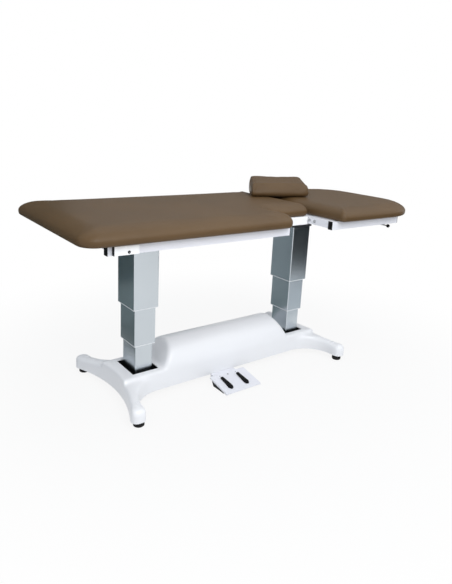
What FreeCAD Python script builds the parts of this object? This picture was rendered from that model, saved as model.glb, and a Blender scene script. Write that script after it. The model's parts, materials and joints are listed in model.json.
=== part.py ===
"""Two-column electric examination table with a cut-out, a tilting head section and a foot control.

Frame: +X runs to the head end, -Y is the side with the cut-out, +Z is up. The origin is on the
floor under the middle of the table. All sizes are millimetres. The table stands at the height of
the photograph, partly lifted, with the head section flat.
"""
import FreeCAD, Part
import math
import os

V = FreeCAD.Vector
ENDS = (-1, 1)
SIDES = (-1, 1)
TINY = 0.01
OVERCUT = 1.0

# Overall sizes
foot_overhang = 397.0
column_spacing = 900.0
head_overhang = 630.0
pad_width = 748.0
frame_top = 768.0

# Pads
pad_thickness = 58.0
pad_crown = 5.5
pad_top_round = 42.0
pad_bottom_round = 14.0
pad_gap = 31.0
foot_corner = 70.0
shoulder_corner = 62.0
joint_corner = 45.0
head_corner = 256.0
cutout_length = 280.0
cutout_depth = 206.0
cutout_corner = 48.0
board_thickness = 12.0
board_inset = 16.0
barrel_overhang = 50.0

# Top frame tubes
rail_height = 40.0
rail_width = 25.0
rail_wall = 2.0
rail_setback = 47.0
rail_foot_setback = 109.0
rail_shoulder_reach = 6.0
head_rail_length = 508.0
tongue_rail_setback = 3.0
cap_flange = 3.0
cap_plug = 14.0
cross_tube_setback = 30.0
cross_bar_width = 30.0
cross_bar_height = 35.0
cross_bar_wall = 2.5
carrier_size = 25.0
carrier_half_pitch = 60.0
carrier_foot_reach = 90.0
carrier_head_reach = 65.0

# Accessory sockets on the side rails
socket_length = 95.0
socket_depth = 16.0
socket_height = 33.0
socket_wall = 2.0
socket_setback = 18.0
socket_drop = 5.0
socket_screw_shift = 8.0
socket_screw_drop = 7.0
socket_screw_radius = 3.4

# Head section hinge
hinge_setback = 39.0
hinge_rise = 11.0
hinge_near_inset = 30.0
hinge_far_inset = 32.0
ear_radius = 9.0
ear_thickness = 6.0
ear_gap = 1.3
ear_root_height = 20.0
hinge_pin_radius = 4.0
running_clearance = 0.08
frame_gap = 3.0
hinge_notch_depth = 23.0
pin_overhang = 2.0
head_bar_lead = 12.0
bolt_width = 13.0
bolt_height = 5.0
bolt_insets = (10.0, 46.0)

# Gas spring: both pivots lie on one circle about the hinge, so it swings at half the tilt
spring_column_gap = 33.0
spring_pivot_radius = 159.0
spring_head_angle = -23.3
spring_included_angle = 75.0
spring_cylinder_radius = 11.0
spring_bore_radius = 8.5
spring_rod_radius = 5.0
spring_eye_radius = 10.0
spring_eye_width = 16.0
spring_cylinder_length = 129.0
spring_cap = 10.0
spring_gland = 6.0
spring_eye_blend = 1.0
spring_rod_slack = 2.0
spring_pin_radius = 4.0
cheek_thickness = 4.0
cheek_gap = 2.0
anchor_radius = 12.0
clevis_front = 14.0
clevis_reach = 24.0

# Release lever and cable
lever_x_setback = 13.0
lever_drop = 24.0
lever_pivot_inset = 152.0
lever_tip_inset = 49.0
lever_inner_inset = 192.0
lever_rod_radius = 4.0
lever_hub_radius = 8.0
lever_pin_radius = 3.0
lever_hub_length = 13.0
lever_gap = 1.0
lever_bracket_half = 15.0
lever_bracket_lip = 2.0
knob_grip = 3.0
knob_radius = 9.5
cable_radius = 2.5
cable_bend = 60.0
cable_drop = 9.0

# Columns
stage_x = 118.0
stage_y = 154.0
stage_step = 17.0
stage_wall = 4.0
stage_corner = 4.0
stage_bore_corner = 1.5
top_stage_bottom = 406.0
mid_stage_bottom = 237.0
mid_stage_top = 518.0
lower_stage_top = 342.0
glide_height = 12.0
glide_lip = 3.0
glide_clearance = 0.4
flange_thickness = 8.0
flange_margin = 6.0
mid_plate_thickness = 6.0

# Column drives
motor_margin = 8.0
motor_height = 42.0
motor_corner = 8.0
drive_tube_radius = 22.0
drive_tube_wall = 6.0
drive_tube_height = 218.0
hollow_spindle_radius = 15.0
hollow_spindle_bore = 10.0
hollow_spindle_length = 237.0
spindle_flange_radius = 30.0
spindle_flange_height = 8.0
inner_spindle_radius = 8.0
inner_spindle_length = 255.0

# Base
cover_bottom = 25.0
cover_wall = 4.0
plinth_top = 115.0
plinth_round = 10.0
body_half_width = 112.0
end_reach = 112.0
end_wall_radius = 650.0
leg_span = 198.0
leg_tip_round = 26.0
leg_inner_margin = 51.0
leg_fillet = 150.0
leg_root_height = 100.0
leg_tip_height = 80.0
leg_round = 20.0
hump_foot_margin = 14.0
hump_head_margin = 8.0
hump_lean = 31.0
hump_axis_z = 104.0
hump_round = 24.0
opening_margin = 4.0
beam_width = 40.0
beam_height = 30.0
beam_wall = 3.0
beam_inner_y = 25.0
beam_bottom = 32.0
beam_overrun = 78.0
base_plate_thickness = 8.0
base_plate_margin = 8.0
well_wall = 2.0
arm_width = 16.0
boss_radius = 14.0
boss_reach = 137.0
boss_setback = 31.0
arm_root_margin = 1.0
stem_radius = 6.0
foot_pad_radius = 23.0
foot_pad_height = 16.0
foot_pad_seat = 8.0
foot_pad_chamfer = 3.0
lock_nut_width = 19.0
lock_nut_height = 7.0
plug_radius = 6.0
plug_setback = 60.0
plug_reach = 131.0
plug_proud = 1.0

# Electrics in the base
control_box_size = (220.0, 110.0, 70.0)
supply_box_size = (150.0, 100.0, 55.0)
box_spacing = 60.0
inlet_width = 28.0
inlet_height = 20.0
inlet_depth = 24.0
inlet_flange = 48.0
inlet_flange_height = 27.0
inlet_flange_thickness = 3.0
inlet_socket_depth = 16.0
inlet_socket_wall = 2.5
inlet_z = 66.0
inlet_offset = 150.0

# Foot control
pedal_centre = 397.0
plate_width = 200.0
plate_depth = 142.0
plate_thickness = 3.0
plate_skirt = 8.0
plate_corner = 6.0
plate_slope = 10.4
plate_standoff = 40.0
plate_back_z = 37.0
housing_inset = 4.0
housing_front_setback = 10.0
housing_back_setback = 5.0
housing_floor_front = 24.0
housing_floor_back = 21.0
pedal_pitch = 92.0
pedal_offset = -6.0
pedal_back = 29.0
pedal_length = 86.0
pedal_back_width = 12.0
pedal_front_width = 23.0
pedal_rise = 7.0
pedal_sink = 2.0
pedal_clearance = 1.5
pedal_round = 1.5
pocket_depth = 12.0
pocket_front_depth = 9.0
pocket_deep_length = 62.0
pedal_pin_radius = 2.0
pedal_pin_setback = 6.0
pedal_pin_depth = 6.5
pedal_pin_reach = 70.0
pedal_lug_length = 12.0
switch_size = 8.0
switch_height = 5.0
switch_setback = 46.0
mount_arm_width = 40.0
mount_arm_bottom = 2.0
mount_arm_thickness = 6.0
mount_arm_grip = 42.0
mount_block_width = 134.0
mount_block_gap = 1.5
mount_block_rise = 2.0

# Pillow, laid across the joint of the pads
pillow_length = 318.0
pillow_depth = 200.0
pillow_height = 98.0
pillow_front_height = 58.0
pillow_low_round = 16.0
pillow_front_round = 26.0
pillow_ridge_round = 36.0
pillow_taper = 6.0
pillow_end_round = 12.0
pillow_angle = -20.0
pillow_skew = 17.0
pillow_before_hinge = 158.0
pillow_front_y = 108.0
pillow_clearance = 0.4

# Stations worked out from the sizes above
overall_length = foot_overhang + column_spacing + head_overhang
foot_end = -overall_length / 2
head_end = overall_length / 2
foot_x = foot_end + foot_overhang
head_x = foot_x + column_spacing
half_width = pad_width / 2
hinge_x = head_x - hinge_setback
hinge_z = frame_top + hinge_rise
main_pad_end = hinge_x - pad_gap / 2
head_pad_start = hinge_x + pad_gap / 2
shoulder_x = main_pad_end - cutout_length
tongue_y = -half_width + cutout_depth
rail_bottom = frame_top - rail_height
rail_y = half_width - rail_setback
rail_start = foot_end + rail_foot_setback
near_rail_end = shoulder_x + rail_shoulder_reach
head_frame_start = hinge_x - head_bar_lead
main_frame_end = head_frame_start - frame_gap
head_frame_end = head_frame_start + head_rail_length
tongue_rail_y = tongue_y + tongue_rail_setback
carrier_bottom = rail_bottom - carrier_size
column_top = carrier_bottom - flange_thickness
base_plate_top = beam_bottom + beam_height + base_plate_thickness
drive_tube_bottom = base_plate_top + motor_height
mid_plate_bottom = mid_stage_top - mid_plate_thickness
cross_bar_bottom = frame_top - cross_bar_height
mid_x = (foot_x + head_x) / 2
lever_x = head_frame_end - lever_x_setback
lever_z = rail_bottom - lever_drop
cable_z = rail_bottom - cable_drop
inlet_x = mid_x + inlet_offset
hinge_centres = (tongue_rail_y + rail_width + hinge_near_inset, rail_y - rail_width - hinge_far_inset)
bolt_places = [tongue_rail_y - inset for inset in bolt_insets]
spring_y = stage_y / 2 + spring_column_gap
lever_pivot_y = -rail_y + lever_pivot_inset
lever_tip_y = -rail_y + lever_tip_inset
lever_inner_y = -rail_y + lever_inner_inset
leg_tip_y = body_half_width + leg_span
leg_inner_reach = stage_x / 2 + leg_inner_margin
boss_y = leg_tip_y - boss_setback
plug_y = leg_tip_y - plug_setback
plate_back_y = -body_half_width - plate_standoff
pedal_x = foot_x + pedal_centre
STAGES = {name: (stage_x - i * stage_step, stage_y - i * stage_step)
          for i, name in enumerate(("top", "mid", "lower"))}


# Shape helpers

def box(x0, x1, y0, y1, z0, z1):
    """Box between two corners given in any order."""
    low = V(min(x0, x1), min(y0, y1), min(z0, z1))
    return Part.makeBox(abs(x1 - x0), abs(y1 - y0), abs(z1 - z0), low)


def cylinder(radius, start, end):
    """Round bar from one point to another."""
    span = end - start
    return Part.makeCylinder(radius, span.Length, start, span)


def rounded_wire(corners):
    """Closed wire through (x, y, radius) corners at z = 0, with a tangent arc at each."""
    count = len(corners)
    points = [V(x, y, 0) for x, y, _ in corners]
    spans = []
    for i, (_, _, radius) in enumerate(corners):
        before = (points[i] - points[i - 1]).normalize()
        after = (points[(i + 1) % count] - points[i]).normalize()
        half_turn = before.getAngle(after) / 2
        reach = radius * math.tan(half_turn)
        inward = (after - before).normalize()
        middle = points[i] + inward * (radius / math.cos(half_turn) - radius)
        spans.append((points[i] - before * reach, middle, points[i] + after * reach))
    edges = []
    for i, (start, middle, end) in enumerate(spans):
        if (end - start).Length > TINY:
            edges.append(Part.Arc(start, middle, end).toShape())
        following = spans[(i + 1) % count][0]
        if (following - end).Length > TINY:
            edges.append(Part.LineSegment(end, following).toShape())
    return Part.Wire(edges)


def prism(wire, z0, z1):
    """Upright solid over a plan wire."""
    face = Part.Face(wire)
    face.translate(V(0, 0, z0))
    return face.extrude(V(0, 0, z1 - z0))


def side_prism(points, y0, y1):
    """Solid between two y planes over a polygon of (x, z) points."""
    wire = Part.makePolygon([V(x, y0, z) for x, z in points + points[:1]])
    return Part.Face(wire).extrude(V(0, y1 - y0, 0))


def end_prism(points, x0, x1):
    """Solid between two x planes over a polygon of (y, z) points."""
    wire = Part.makePolygon([V(x0, y, z) for y, z in points + points[:1]])
    return Part.Face(wire).extrude(V(x1 - x0, 0, 0))


def rounded_block(cx, size_x, size_y, corner, z0, z1):
    """Upright block about (cx, 0) with rounded upright edges."""
    a, b = size_x / 2, size_y / 2
    corners = [(cx + sx * a, sy * b, corner) for sx, sy in ((-1, -1), (1, -1), (1, 1), (-1, 1))]
    return prism(rounded_wire(corners), z0, z1)


def rect_tube(x0, x1, y0, y1, z0, z1, wall, axis):
    """Rectangular tube open at both ends along the named axis."""
    dx, dy = (0, wall) if axis == "x" else (wall, 0)
    outer = box(x0, x1, y0, y1, z0, z1)
    return outer.cut(box(x0 + dx, x1 - dx, y0 + dy, y1 - dy, z0 + wall, z1 - wall))


def hexagon(width, cx, cy, z0, z1):
    """Upright hexagonal nut blank."""
    radius = width / math.sqrt(3)
    points = [V(cx + radius * math.cos(math.radians(60 * i)),
                cy + radius * math.sin(math.radians(60 * i)), z0) for i in range(7)]
    return Part.Face(Part.makePolygon(points)).extrude(V(0, 0, z1 - z0))


def fuse_all(shapes):
    """One solid from several, with the seams between flush faces removed."""
    return shapes[0].multiFuse(shapes[1:]).removeSplitter()


def save(name, *shapes):
    """Write one node, which may hold several separate solids."""
    solids = [solid for shape in shapes for solid in shape.Solids]
    shape = solids[0] if len(solids) == 1 else Part.makeCompound(solids)
    if not shape.isValid():
        print("invalid", name)
    shape.exportStep(f"parts/{name}.step")
    print(f"{name}: {len(solids)} solids, {shape.Volume / 1000:.0f} cm3")


def column_axis(end):
    """X of the foot (-1) or head (+1) column."""
    return foot_x if end < 0 else head_x


def outward(end, reach):
    """X at a reach from a column axis towards its end of the table."""
    return column_axis(end) + end * reach


# Pads and boards

def main_outline(inset):
    """Plan of the main pad, drawn in by an inset."""
    far, near = half_width - inset, -half_width + inset
    tongue = tongue_y + inset
    return rounded_wire([
        (foot_end + inset, near, foot_corner - inset),
        (shoulder_x - inset, near, shoulder_corner - inset),
        (shoulder_x - inset, tongue, cutout_corner + inset),
        (main_pad_end - inset, tongue, joint_corner - inset),
        (main_pad_end - inset, far, joint_corner - inset),
        (foot_end + inset, far, foot_corner - inset)])


def head_outline(inset):
    """Plan of the head pad, drawn in by an inset."""
    far, near = half_width - inset, -half_width + inset
    return rounded_wire([
        (head_pad_start + inset, near, joint_corner - inset),
        (head_end - inset, near, head_corner - inset),
        (head_end - inset, far, head_corner - inset),
        (head_pad_start + inset, far, joint_corner - inset)])


def cushion(outline):
    """Upholstered pad: crowned across its width, round at the top edge, drawn in at the bottom."""
    top = frame_top + pad_thickness
    crown_radius = (half_width ** 2 + pad_crown ** 2) / (2 * pad_crown)
    axis_z = top + pad_crown - crown_radius
    barrel = cylinder(crown_radius, V(foot_end - barrel_overhang, 0, axis_z),
                      V(head_end + barrel_overhang, 0, axis_z))
    body = prism(outline(0), frame_top, top + 2 * pad_crown).common(barrel)
    upper = [e for e in body.Edges if e.BoundBox.ZMin > frame_top + pad_thickness / 2]
    body = body.makeFillet(pad_top_round, upper)
    lower = [e for e in body.Edges if e.BoundBox.ZMax < frame_top + TINY]
    body = body.makeFillet(pad_bottom_round, lower)
    return body.cut(board(outline))


def board(outline):
    """Plywood board let into the underside of a pad."""
    return prism(outline(board_inset), frame_top, frame_top + board_thickness)


def pillow():
    """Loose wedge pillow: flat below, rising to its back, its ends skewed as it lies."""
    wire = rounded_wire([
        (0, 0, pillow_low_round), (pillow_depth, 0, pillow_low_round),
        (pillow_depth - pillow_taper, pillow_height, pillow_ridge_round),
        (pillow_taper, pillow_front_height, pillow_front_round)])
    skew = math.radians(pillow_skew)
    run = pillow_length * math.cos(skew)
    body = Part.Face(wire).extrude(V(pillow_length * math.sin(skew), 0, run))
    rims = [e for e in body.Edges if e.BoundBox.ZMax < TINY or e.BoundBox.ZMin > run - TINY]
    body = body.makeFillet(pillow_end_round, rims)
    lay = FreeCAD.Rotation(V(1, 1, 1), 120)
    turn = FreeCAD.Rotation(V(0, 0, 1), pillow_angle - pillow_skew)
    seat = frame_top + pad_thickness + pad_crown + pillow_clearance
    place = V(hinge_x - pillow_before_hinge, pillow_front_y, seat)
    body.Placement = FreeCAD.Placement(place, turn.multiply(lay))
    return body


def make_pads():
    """Both upholstered pads, their boards and the pillow."""
    save("main_pad", cushion(main_outline))
    save("main_pad_board", board(main_outline))
    save("head_pad", cushion(head_outline))
    save("head_pad_board", board(head_outline))
    save("pillow", pillow())


# Columns and their drives

def stage_tube(end, name, z0, z1):
    """One aluminium stage of a column."""
    size_x, size_y = STAGES[name]
    bore_x, bore_y = size_x - 2 * stage_wall, size_y - 2 * stage_wall
    outer = rounded_block(column_axis(end), size_x, size_y, stage_corner, z0, z1)
    return outer.cut(rounded_block(column_axis(end), bore_x, bore_y, stage_bore_corner, z0, z1))


def wiper_ring(end, outer_name, inner_name, z):
    """Glide in the mouth of an outer stage, with a lip under its rim."""
    size_x, size_y = STAGES[outer_name]
    hole_x, hole_y = (size + 2 * glide_clearance for size in STAGES[inner_name])
    cx = column_axis(end)
    plug = rounded_block(cx, size_x - 2 * stage_wall, size_y - 2 * stage_wall, stage_bore_corner,
                         z, z + glide_height)
    lip = rounded_block(cx, size_x, size_y, stage_corner, z - glide_lip, z)
    hole = rounded_block(cx, hole_x, hole_y, stage_corner, z - glide_lip, z + glide_height)
    return fuse_all([plug, lip]).cut(hole)


def head_glide(end, inner_name, outer_name, z):
    """Glide round the top of an inner stage, running in the outer one."""
    size_x, size_y = STAGES[outer_name]
    slack = 2 * (stage_wall + glide_clearance)
    cx = column_axis(end)
    ring = rounded_block(cx, size_x - slack, size_y - slack, stage_bore_corner, z - glide_height, z)
    core_x, core_y = STAGES[inner_name]
    return ring.cut(rounded_block(cx, core_x, core_y, stage_corner, z - glide_height, z))


def hollow_spindle(end):
    """Hollow lifting screw hung from the head plate of a middle stage."""
    cx = column_axis(end)
    top = V(cx, 0, mid_plate_bottom)
    foot = V(cx, 0, mid_plate_bottom - hollow_spindle_length)
    collar = V(cx, 0, mid_plate_bottom - spindle_flange_height)
    body = fuse_all([cylinder(hollow_spindle_radius, foot, top),
                     cylinder(spindle_flange_radius, collar, top)])
    return body.cut(cylinder(hollow_spindle_bore, foot, top))


def head_plate(end):
    """Plate in the top of a middle stage, with the hole for the inner screw."""
    size_x, size_y = (size - 2 * stage_wall for size in STAGES["mid"])
    plate = rounded_block(column_axis(end), size_x, size_y, stage_bore_corner,
                          mid_plate_bottom, mid_stage_top)
    low = V(column_axis(end), 0, mid_plate_bottom)
    return plate.cut(cylinder(hollow_spindle_bore, low, low + V(0, 0, mid_plate_thickness)))


def drive_tube(end):
    """Driven nut tube over a motor, in which the hollow screw runs."""
    low = V(column_axis(end), 0, drive_tube_bottom)
    high = low + V(0, 0, drive_tube_height)
    return cylinder(drive_tube_radius, low, high).cut(
        cylinder(drive_tube_radius - drive_tube_wall, low, high))


def motor(end):
    """Geared motor at the foot of a column."""
    size_x, size_y = (size - 2 * (stage_wall + motor_margin) for size in STAGES["lower"])
    return rounded_block(column_axis(end), size_x, size_y, motor_corner,
                         base_plate_top, drive_tube_bottom)


def inner_spindle(end):
    """Inner screw hung from the plate on top of a column."""
    high = V(column_axis(end), 0, column_top)
    return cylinder(inner_spindle_radius, high - V(0, 0, inner_spindle_length), high)


def make_columns():
    """Both telescopic columns, the fixed, middle and top stages with their drives."""
    save("lower_stages", *[stage_tube(e, "lower", base_plate_top, lower_stage_top) for e in ENDS])
    save("lower_stage_glides", *[head_glide(e, "lower", "mid", lower_stage_top) for e in ENDS])
    save("drive_motors", *[motor(e) for e in ENDS])
    save("drive_tubes", *[drive_tube(e) for e in ENDS])
    for end, name in zip(ENDS, ("foot", "head")):
        save(f"{name}_mid_stage", stage_tube(end, "mid", mid_stage_bottom, mid_stage_top),
             head_plate(end))
        save(f"{name}_mid_glides", wiper_ring(end, "mid", "lower", mid_stage_bottom),
             head_glide(end, "mid", "top", mid_stage_top))
        save(f"{name}_hollow_spindle", hollow_spindle(end))
    save("top_stages", *[stage_tube(e, "top", top_stage_bottom, column_top) for e in ENDS])
    save("top_stage_glides", *[wiper_ring(e, "top", "mid", top_stage_bottom) for e in ENDS])
    save("inner_spindles", *[inner_spindle(e) for e in ENDS])
    save("column_flanges", *[rounded_block(column_axis(e), stage_x + 2 * flange_margin,
                                           stage_y + 2 * flange_margin, stage_corner,
                                           column_top, carrier_bottom) for e in ENDS])


# Main frame under the main pad

def side_rail(side, x0, x1):
    """Side tube of the top frame."""
    return rect_tube(x0, x1, *sorted((side * rail_y, side * (rail_y - rail_width))),
                     rail_bottom, frame_top, rail_wall, "x")


def cross_tube(x0, y0, y1):
    """Cross tube of the top frame, standing on its narrow side."""
    return rect_tube(x0, x0 + rail_width, y0, y1, rail_bottom, frame_top, rail_wall, "y")


def rail_cap(x, way, side):
    """Plug with a flange in the end of a side rail, facing way (-1 or +1)."""
    y0, y1 = sorted((side * rail_y, side * (rail_y - rail_width)))
    flange = box(x, x + way * cap_flange, y0, y1, rail_bottom, frame_top)
    plug = box(x, x - way * cap_plug, y0 + rail_wall, y1 - rail_wall,
               rail_bottom + rail_wall, frame_top - rail_wall)
    return fuse_all([flange, plug])


def accessory_socket(side):
    """Flat socket on a side rail for a slide-in accessory, with a hole for its clamp screw."""
    x0 = rail_start + socket_setback
    y0, y1 = sorted((side * rail_y, side * (rail_y + socket_depth)))
    top = frame_top - socket_drop
    tube = rect_tube(x0, x0 + socket_length, y0, y1, top - socket_height, top, socket_wall, "x")
    face = V(x0 + socket_length / 2 + socket_screw_shift, side * (rail_y + socket_depth),
             top - socket_height / 2 - socket_screw_drop)
    return tube.cut(cylinder(socket_screw_radius, face, face - V(0, side * 2 * socket_wall, 0)))


def hinge_point(y):
    """Point on the hinge axis of the head section."""
    return V(hinge_x, y, hinge_z)


def main_ear(y):
    """Ear from the end tube of the main frame up to the hinge axis."""
    lean = ear_radius * math.sqrt(0.5)
    half = V(0, ear_thickness / 2, 0)
    centre = hinge_point(y)
    web = side_prism([(main_frame_end, frame_top - ear_root_height), (main_frame_end, frame_top),
                      (hinge_x - lean, hinge_z + lean), (hinge_x + lean, hinge_z - lean)],
                     y - ear_thickness / 2, y + ear_thickness / 2)
    eye = cylinder(ear_radius, centre - half, centre + half)
    return fuse_all([web, eye]).cut(cylinder(hinge_pin_radius, centre - half, centre + half))


def hinge_pin(y):
    """Pin through one main ear and its two head ears."""
    half = V(0, 1.5 * ear_thickness + ear_gap + pin_overhang, 0)
    return cylinder(hinge_pin_radius, hinge_point(y) - half, hinge_point(y) + half)


def spring_pivot(angle):
    """Point on the circle of the gas spring's pivots, at an angle above +X."""
    turn = math.radians(angle)
    return hinge_point(spring_y) + V(math.cos(turn), 0, math.sin(turn)) * spring_pivot_radius


def spring_anchor():
    """Two cheeks under the end tube with the lower pivot pin of the gas spring."""
    pivot = spring_pivot(spring_head_angle - spring_included_angle)
    inner = spring_cylinder_radius + cheek_gap
    pieces = []
    for side in SIDES:
        y0 = spring_y + side * inner
        y1 = y0 + side * cheek_thickness
        web = side_prism([(main_frame_end - rail_width, rail_bottom), (main_frame_end, rail_bottom),
                          (pivot.x + anchor_radius, pivot.z), (pivot.x - anchor_radius, pivot.z)], y0, y1)
        ends = (V(pivot.x, y0, pivot.z), V(pivot.x, y1, pivot.z))
        cheek = fuse_all([web, cylinder(anchor_radius, *ends)])
        pieces.append(cheek.cut(cylinder(spring_pin_radius, *ends)))
    reach = V(0, inner + cheek_thickness, 0)
    return pieces + [cylinder(spring_pin_radius, pivot - reach, pivot + reach)]


def make_main_frame():
    """Tubes, sockets, caps and hinge pieces that carry the main pad."""
    save("near_rail", side_rail(-1, rail_start, near_rail_end))
    save("far_rail", side_rail(1, rail_start, main_frame_end))
    save("tongue_rail", rect_tube(near_rail_end, main_frame_end, tongue_rail_y,
                                  tongue_rail_y + rail_width, rail_bottom, frame_top, rail_wall, "x"))
    inner = rail_y - rail_width
    save("main_cross_tubes",
         cross_tube(rail_start + cross_tube_setback, -inner, inner),
         cross_tube(foot_x - rail_width / 2, -inner, inner),
         cross_tube(near_rail_end - rail_width, -inner, inner),
         cross_tube(main_frame_end - rail_width, tongue_rail_y + rail_width, inner))
    save("main_rail_caps", rail_cap(rail_start, -1, -1), rail_cap(rail_start, -1, 1),
         rail_cap(near_rail_end, 1, -1))
    save("accessory_sockets", *[accessory_socket(s) for s in SIDES])
    half = carrier_size / 2
    save("carrier_beams", *[
        rect_tube(foot_x - carrier_foot_reach, head_x + carrier_head_reach,
                  s * carrier_half_pitch - half, s * carrier_half_pitch + half,
                  carrier_bottom, rail_bottom, rail_wall, "x") for s in SIDES])
    save("hinge_main_ears", *[main_ear(y) for y in hinge_centres])
    save("hinge_pins", *[hinge_pin(y) for y in hinge_centres])
    save("gas_spring_anchor", *spring_anchor())


# Head section

def front_bar():
    """Front bar of the head frame, notched where the main ears pass."""
    x0 = head_frame_start
    inner = rail_y - rail_width
    bar = rect_tube(x0, x0 + cross_bar_width, -inner, inner, cross_bar_bottom, frame_top,
                    cross_bar_wall, "y")
    half = ear_thickness / 2 + ear_gap
    low = frame_top - ear_root_height - frame_gap
    for y in hinge_centres:
        bar = bar.cut(box(x0, x0 + hinge_notch_depth, y - half, y + half, low, frame_top))
    return bar


def head_ear(y, side):
    """Ear on the front bar beside a main ear, turning on the hinge pin."""
    y0 = y + side * (ear_thickness / 2 + ear_gap)
    y1 = y0 + side * ear_thickness
    foot = box(hinge_x - ear_radius, hinge_x + ear_radius, y0, y1, frame_top, hinge_z)
    body = fuse_all([foot, cylinder(ear_radius, hinge_point(y0), hinge_point(y1))])
    return body.cut(cylinder(hinge_pin_radius + running_clearance, hinge_point(y0), hinge_point(y1)))


def bar_bolt(y):
    """Hexagon bolt head on the front face of the front bar."""
    head = hexagon(bolt_width, 0, y, 0, bolt_height)
    head.rotate(V(0, y, 0), V(0, 1, 0), -90)
    head.translate(V(head_frame_start, 0, (cross_bar_bottom + frame_top) / 2))
    return head


def spring_clevis():
    """Cheeks under the middle tube of the head frame, with a stop plate for the release cable."""
    pivot = spring_pivot(spring_head_angle)
    inner = spring_eye_width / 2 + cheek_gap
    back = pivot.x + clevis_reach
    plates = []
    for side in SIDES:
        y0 = spring_y + side * inner
        plates.append(box(pivot.x - clevis_front, back, y0, y0 + side * cheek_thickness,
                          pivot.z - clevis_front, cross_bar_bottom))
    plates.append(box(back - cheek_thickness, back, spring_y - inner, spring_y + inner,
                      pivot.z - spring_eye_radius, cross_bar_bottom))
    return fuse_all(plates)


def lever_bracket():
    """Two cheeks under the end tube with the pivot pin of the release lever."""
    inner = lever_hub_length / 2 + lever_gap
    pieces = []
    for side in SIDES:
        x0 = lever_x + side * inner
        x1 = x0 + side * cheek_thickness
        cheek = box(x0, x1, lever_pivot_y - lever_bracket_half, lever_pivot_y + lever_bracket_half,
                    lever_z - lever_hub_radius - lever_bracket_lip, rail_bottom)
        hole = cylinder(lever_pin_radius, V(x0, lever_pivot_y, lever_z), V(x1, lever_pivot_y, lever_z))
        pieces.append(cheek.cut(hole))
    reach = inner + cheek_thickness
    pieces.append(cylinder(lever_pin_radius, V(lever_x - reach, lever_pivot_y, lever_z),
                           V(lever_x + reach, lever_pivot_y, lever_z)))
    return pieces


def release_cable():
    """Sheathed cable from the lever's bracket to the stop plate of the gas spring."""
    start_x = spring_pivot(spring_head_angle).x + clevis_reach
    end_x = lever_x - lever_hub_length / 2 - lever_gap - cheek_thickness
    end_y = lever_pivot_y + lever_bracket_half / 2
    third = (end_x - start_x) / 3
    route = [V(start_x, spring_y, cable_z), V(start_x + third, spring_y, cable_z),
             V(end_x - third, end_y, cable_z), V(end_x, end_y, cable_z)]
    edges = []
    here = route[0]
    for before, corner, after in zip(route, route[1:], route[2:]):
        way_in = (corner - before).normalize()
        way_out = (after - corner).normalize()
        half_turn = way_in.getAngle(way_out) / 2
        reach = cable_bend * math.tan(half_turn)
        inward = (way_out - way_in).normalize()
        middle = corner + inward * (cable_bend / math.cos(half_turn) - cable_bend)
        edges.append(Part.LineSegment(here, corner - way_in * reach).toShape())
        edges.append(Part.Arc(corner - way_in * reach, middle, corner + way_out * reach).toShape())
        here = corner + way_out * reach
    edges.append(Part.LineSegment(here, route[-1]).toShape())
    path = Part.Wire(edges)
    section = Part.Wire(Part.makeCircle(cable_radius, route[0], V(1, 0, 0)))
    return path.makePipeShell([section], True, True)


def release_lever():
    """Lever rod with the hub that turns on the bracket's pin."""
    rod = cylinder(lever_rod_radius, V(lever_x, lever_tip_y, lever_z), V(lever_x, lever_inner_y, lever_z))
    half = lever_hub_length / 2
    ends = (V(lever_x - half, lever_pivot_y, lever_z), V(lever_x + half, lever_pivot_y, lever_z))
    hub = cylinder(lever_hub_radius, *ends)
    return fuse_all([rod, hub]).cut(cylinder(lever_pin_radius + running_clearance, *ends))


def release_knob():
    """Ball knob on the near end of the lever rod."""
    centre = V(lever_x, lever_tip_y - knob_radius + knob_grip, lever_z)
    ball = Part.makeSphere(knob_radius, centre)
    return ball.cut(cylinder(lever_rod_radius, V(lever_x, lever_tip_y, lever_z),
                             V(lever_x, lever_tip_y + 2 * knob_radius, lever_z)))


def make_head_section():
    """Frame, hinge ears, release lever and cable of the head section."""
    save("head_near_rail", side_rail(-1, head_frame_start, head_frame_end))
    save("head_far_rail", side_rail(1, head_frame_start, head_frame_end))
    inner = rail_y - rail_width
    middle_x = spring_pivot(spring_head_angle).x - rail_width / 2
    save("head_cross_bars", front_bar(),
         rect_tube(middle_x, middle_x + rail_width, -inner, inner, cross_bar_bottom, frame_top,
                   rail_wall, "y"),
         cross_tube(head_frame_end - rail_width, -inner, inner))
    save("head_rail_caps", rail_cap(head_frame_start, -1, -1), rail_cap(head_frame_end, 1, -1),
         rail_cap(head_frame_end, 1, 1))
    save("hinge_head_ears", *[head_ear(y, s) for y in hinge_centres for s in SIDES])
    save("head_bar_bolts", *[bar_bolt(y) for y in bolt_places])
    save("gas_spring_clevis", spring_clevis())
    save("lever_bracket", *lever_bracket())
    save("release_cable", release_cable())
    save("release_lever", release_lever())
    save("release_knob", release_knob())


# Gas spring

def along_spring(shape):
    """Lay a shape drawn along +X from the lower pivot onto the gas spring's line."""
    low = spring_pivot(spring_head_angle - spring_included_angle)
    high = spring_pivot(spring_head_angle)
    slope = math.degrees(math.atan2(high.z - low.z, high.x - low.x))
    shape.Placement = FreeCAD.Placement(low, FreeCAD.Rotation(V(0, -1, 0), slope))
    return shape


def spring_cross(s, radius, width):
    """Round bar across the gas spring's line at a distance along it."""
    return cylinder(radius, V(s, -width / 2, 0), V(s, width / 2, 0))


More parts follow.
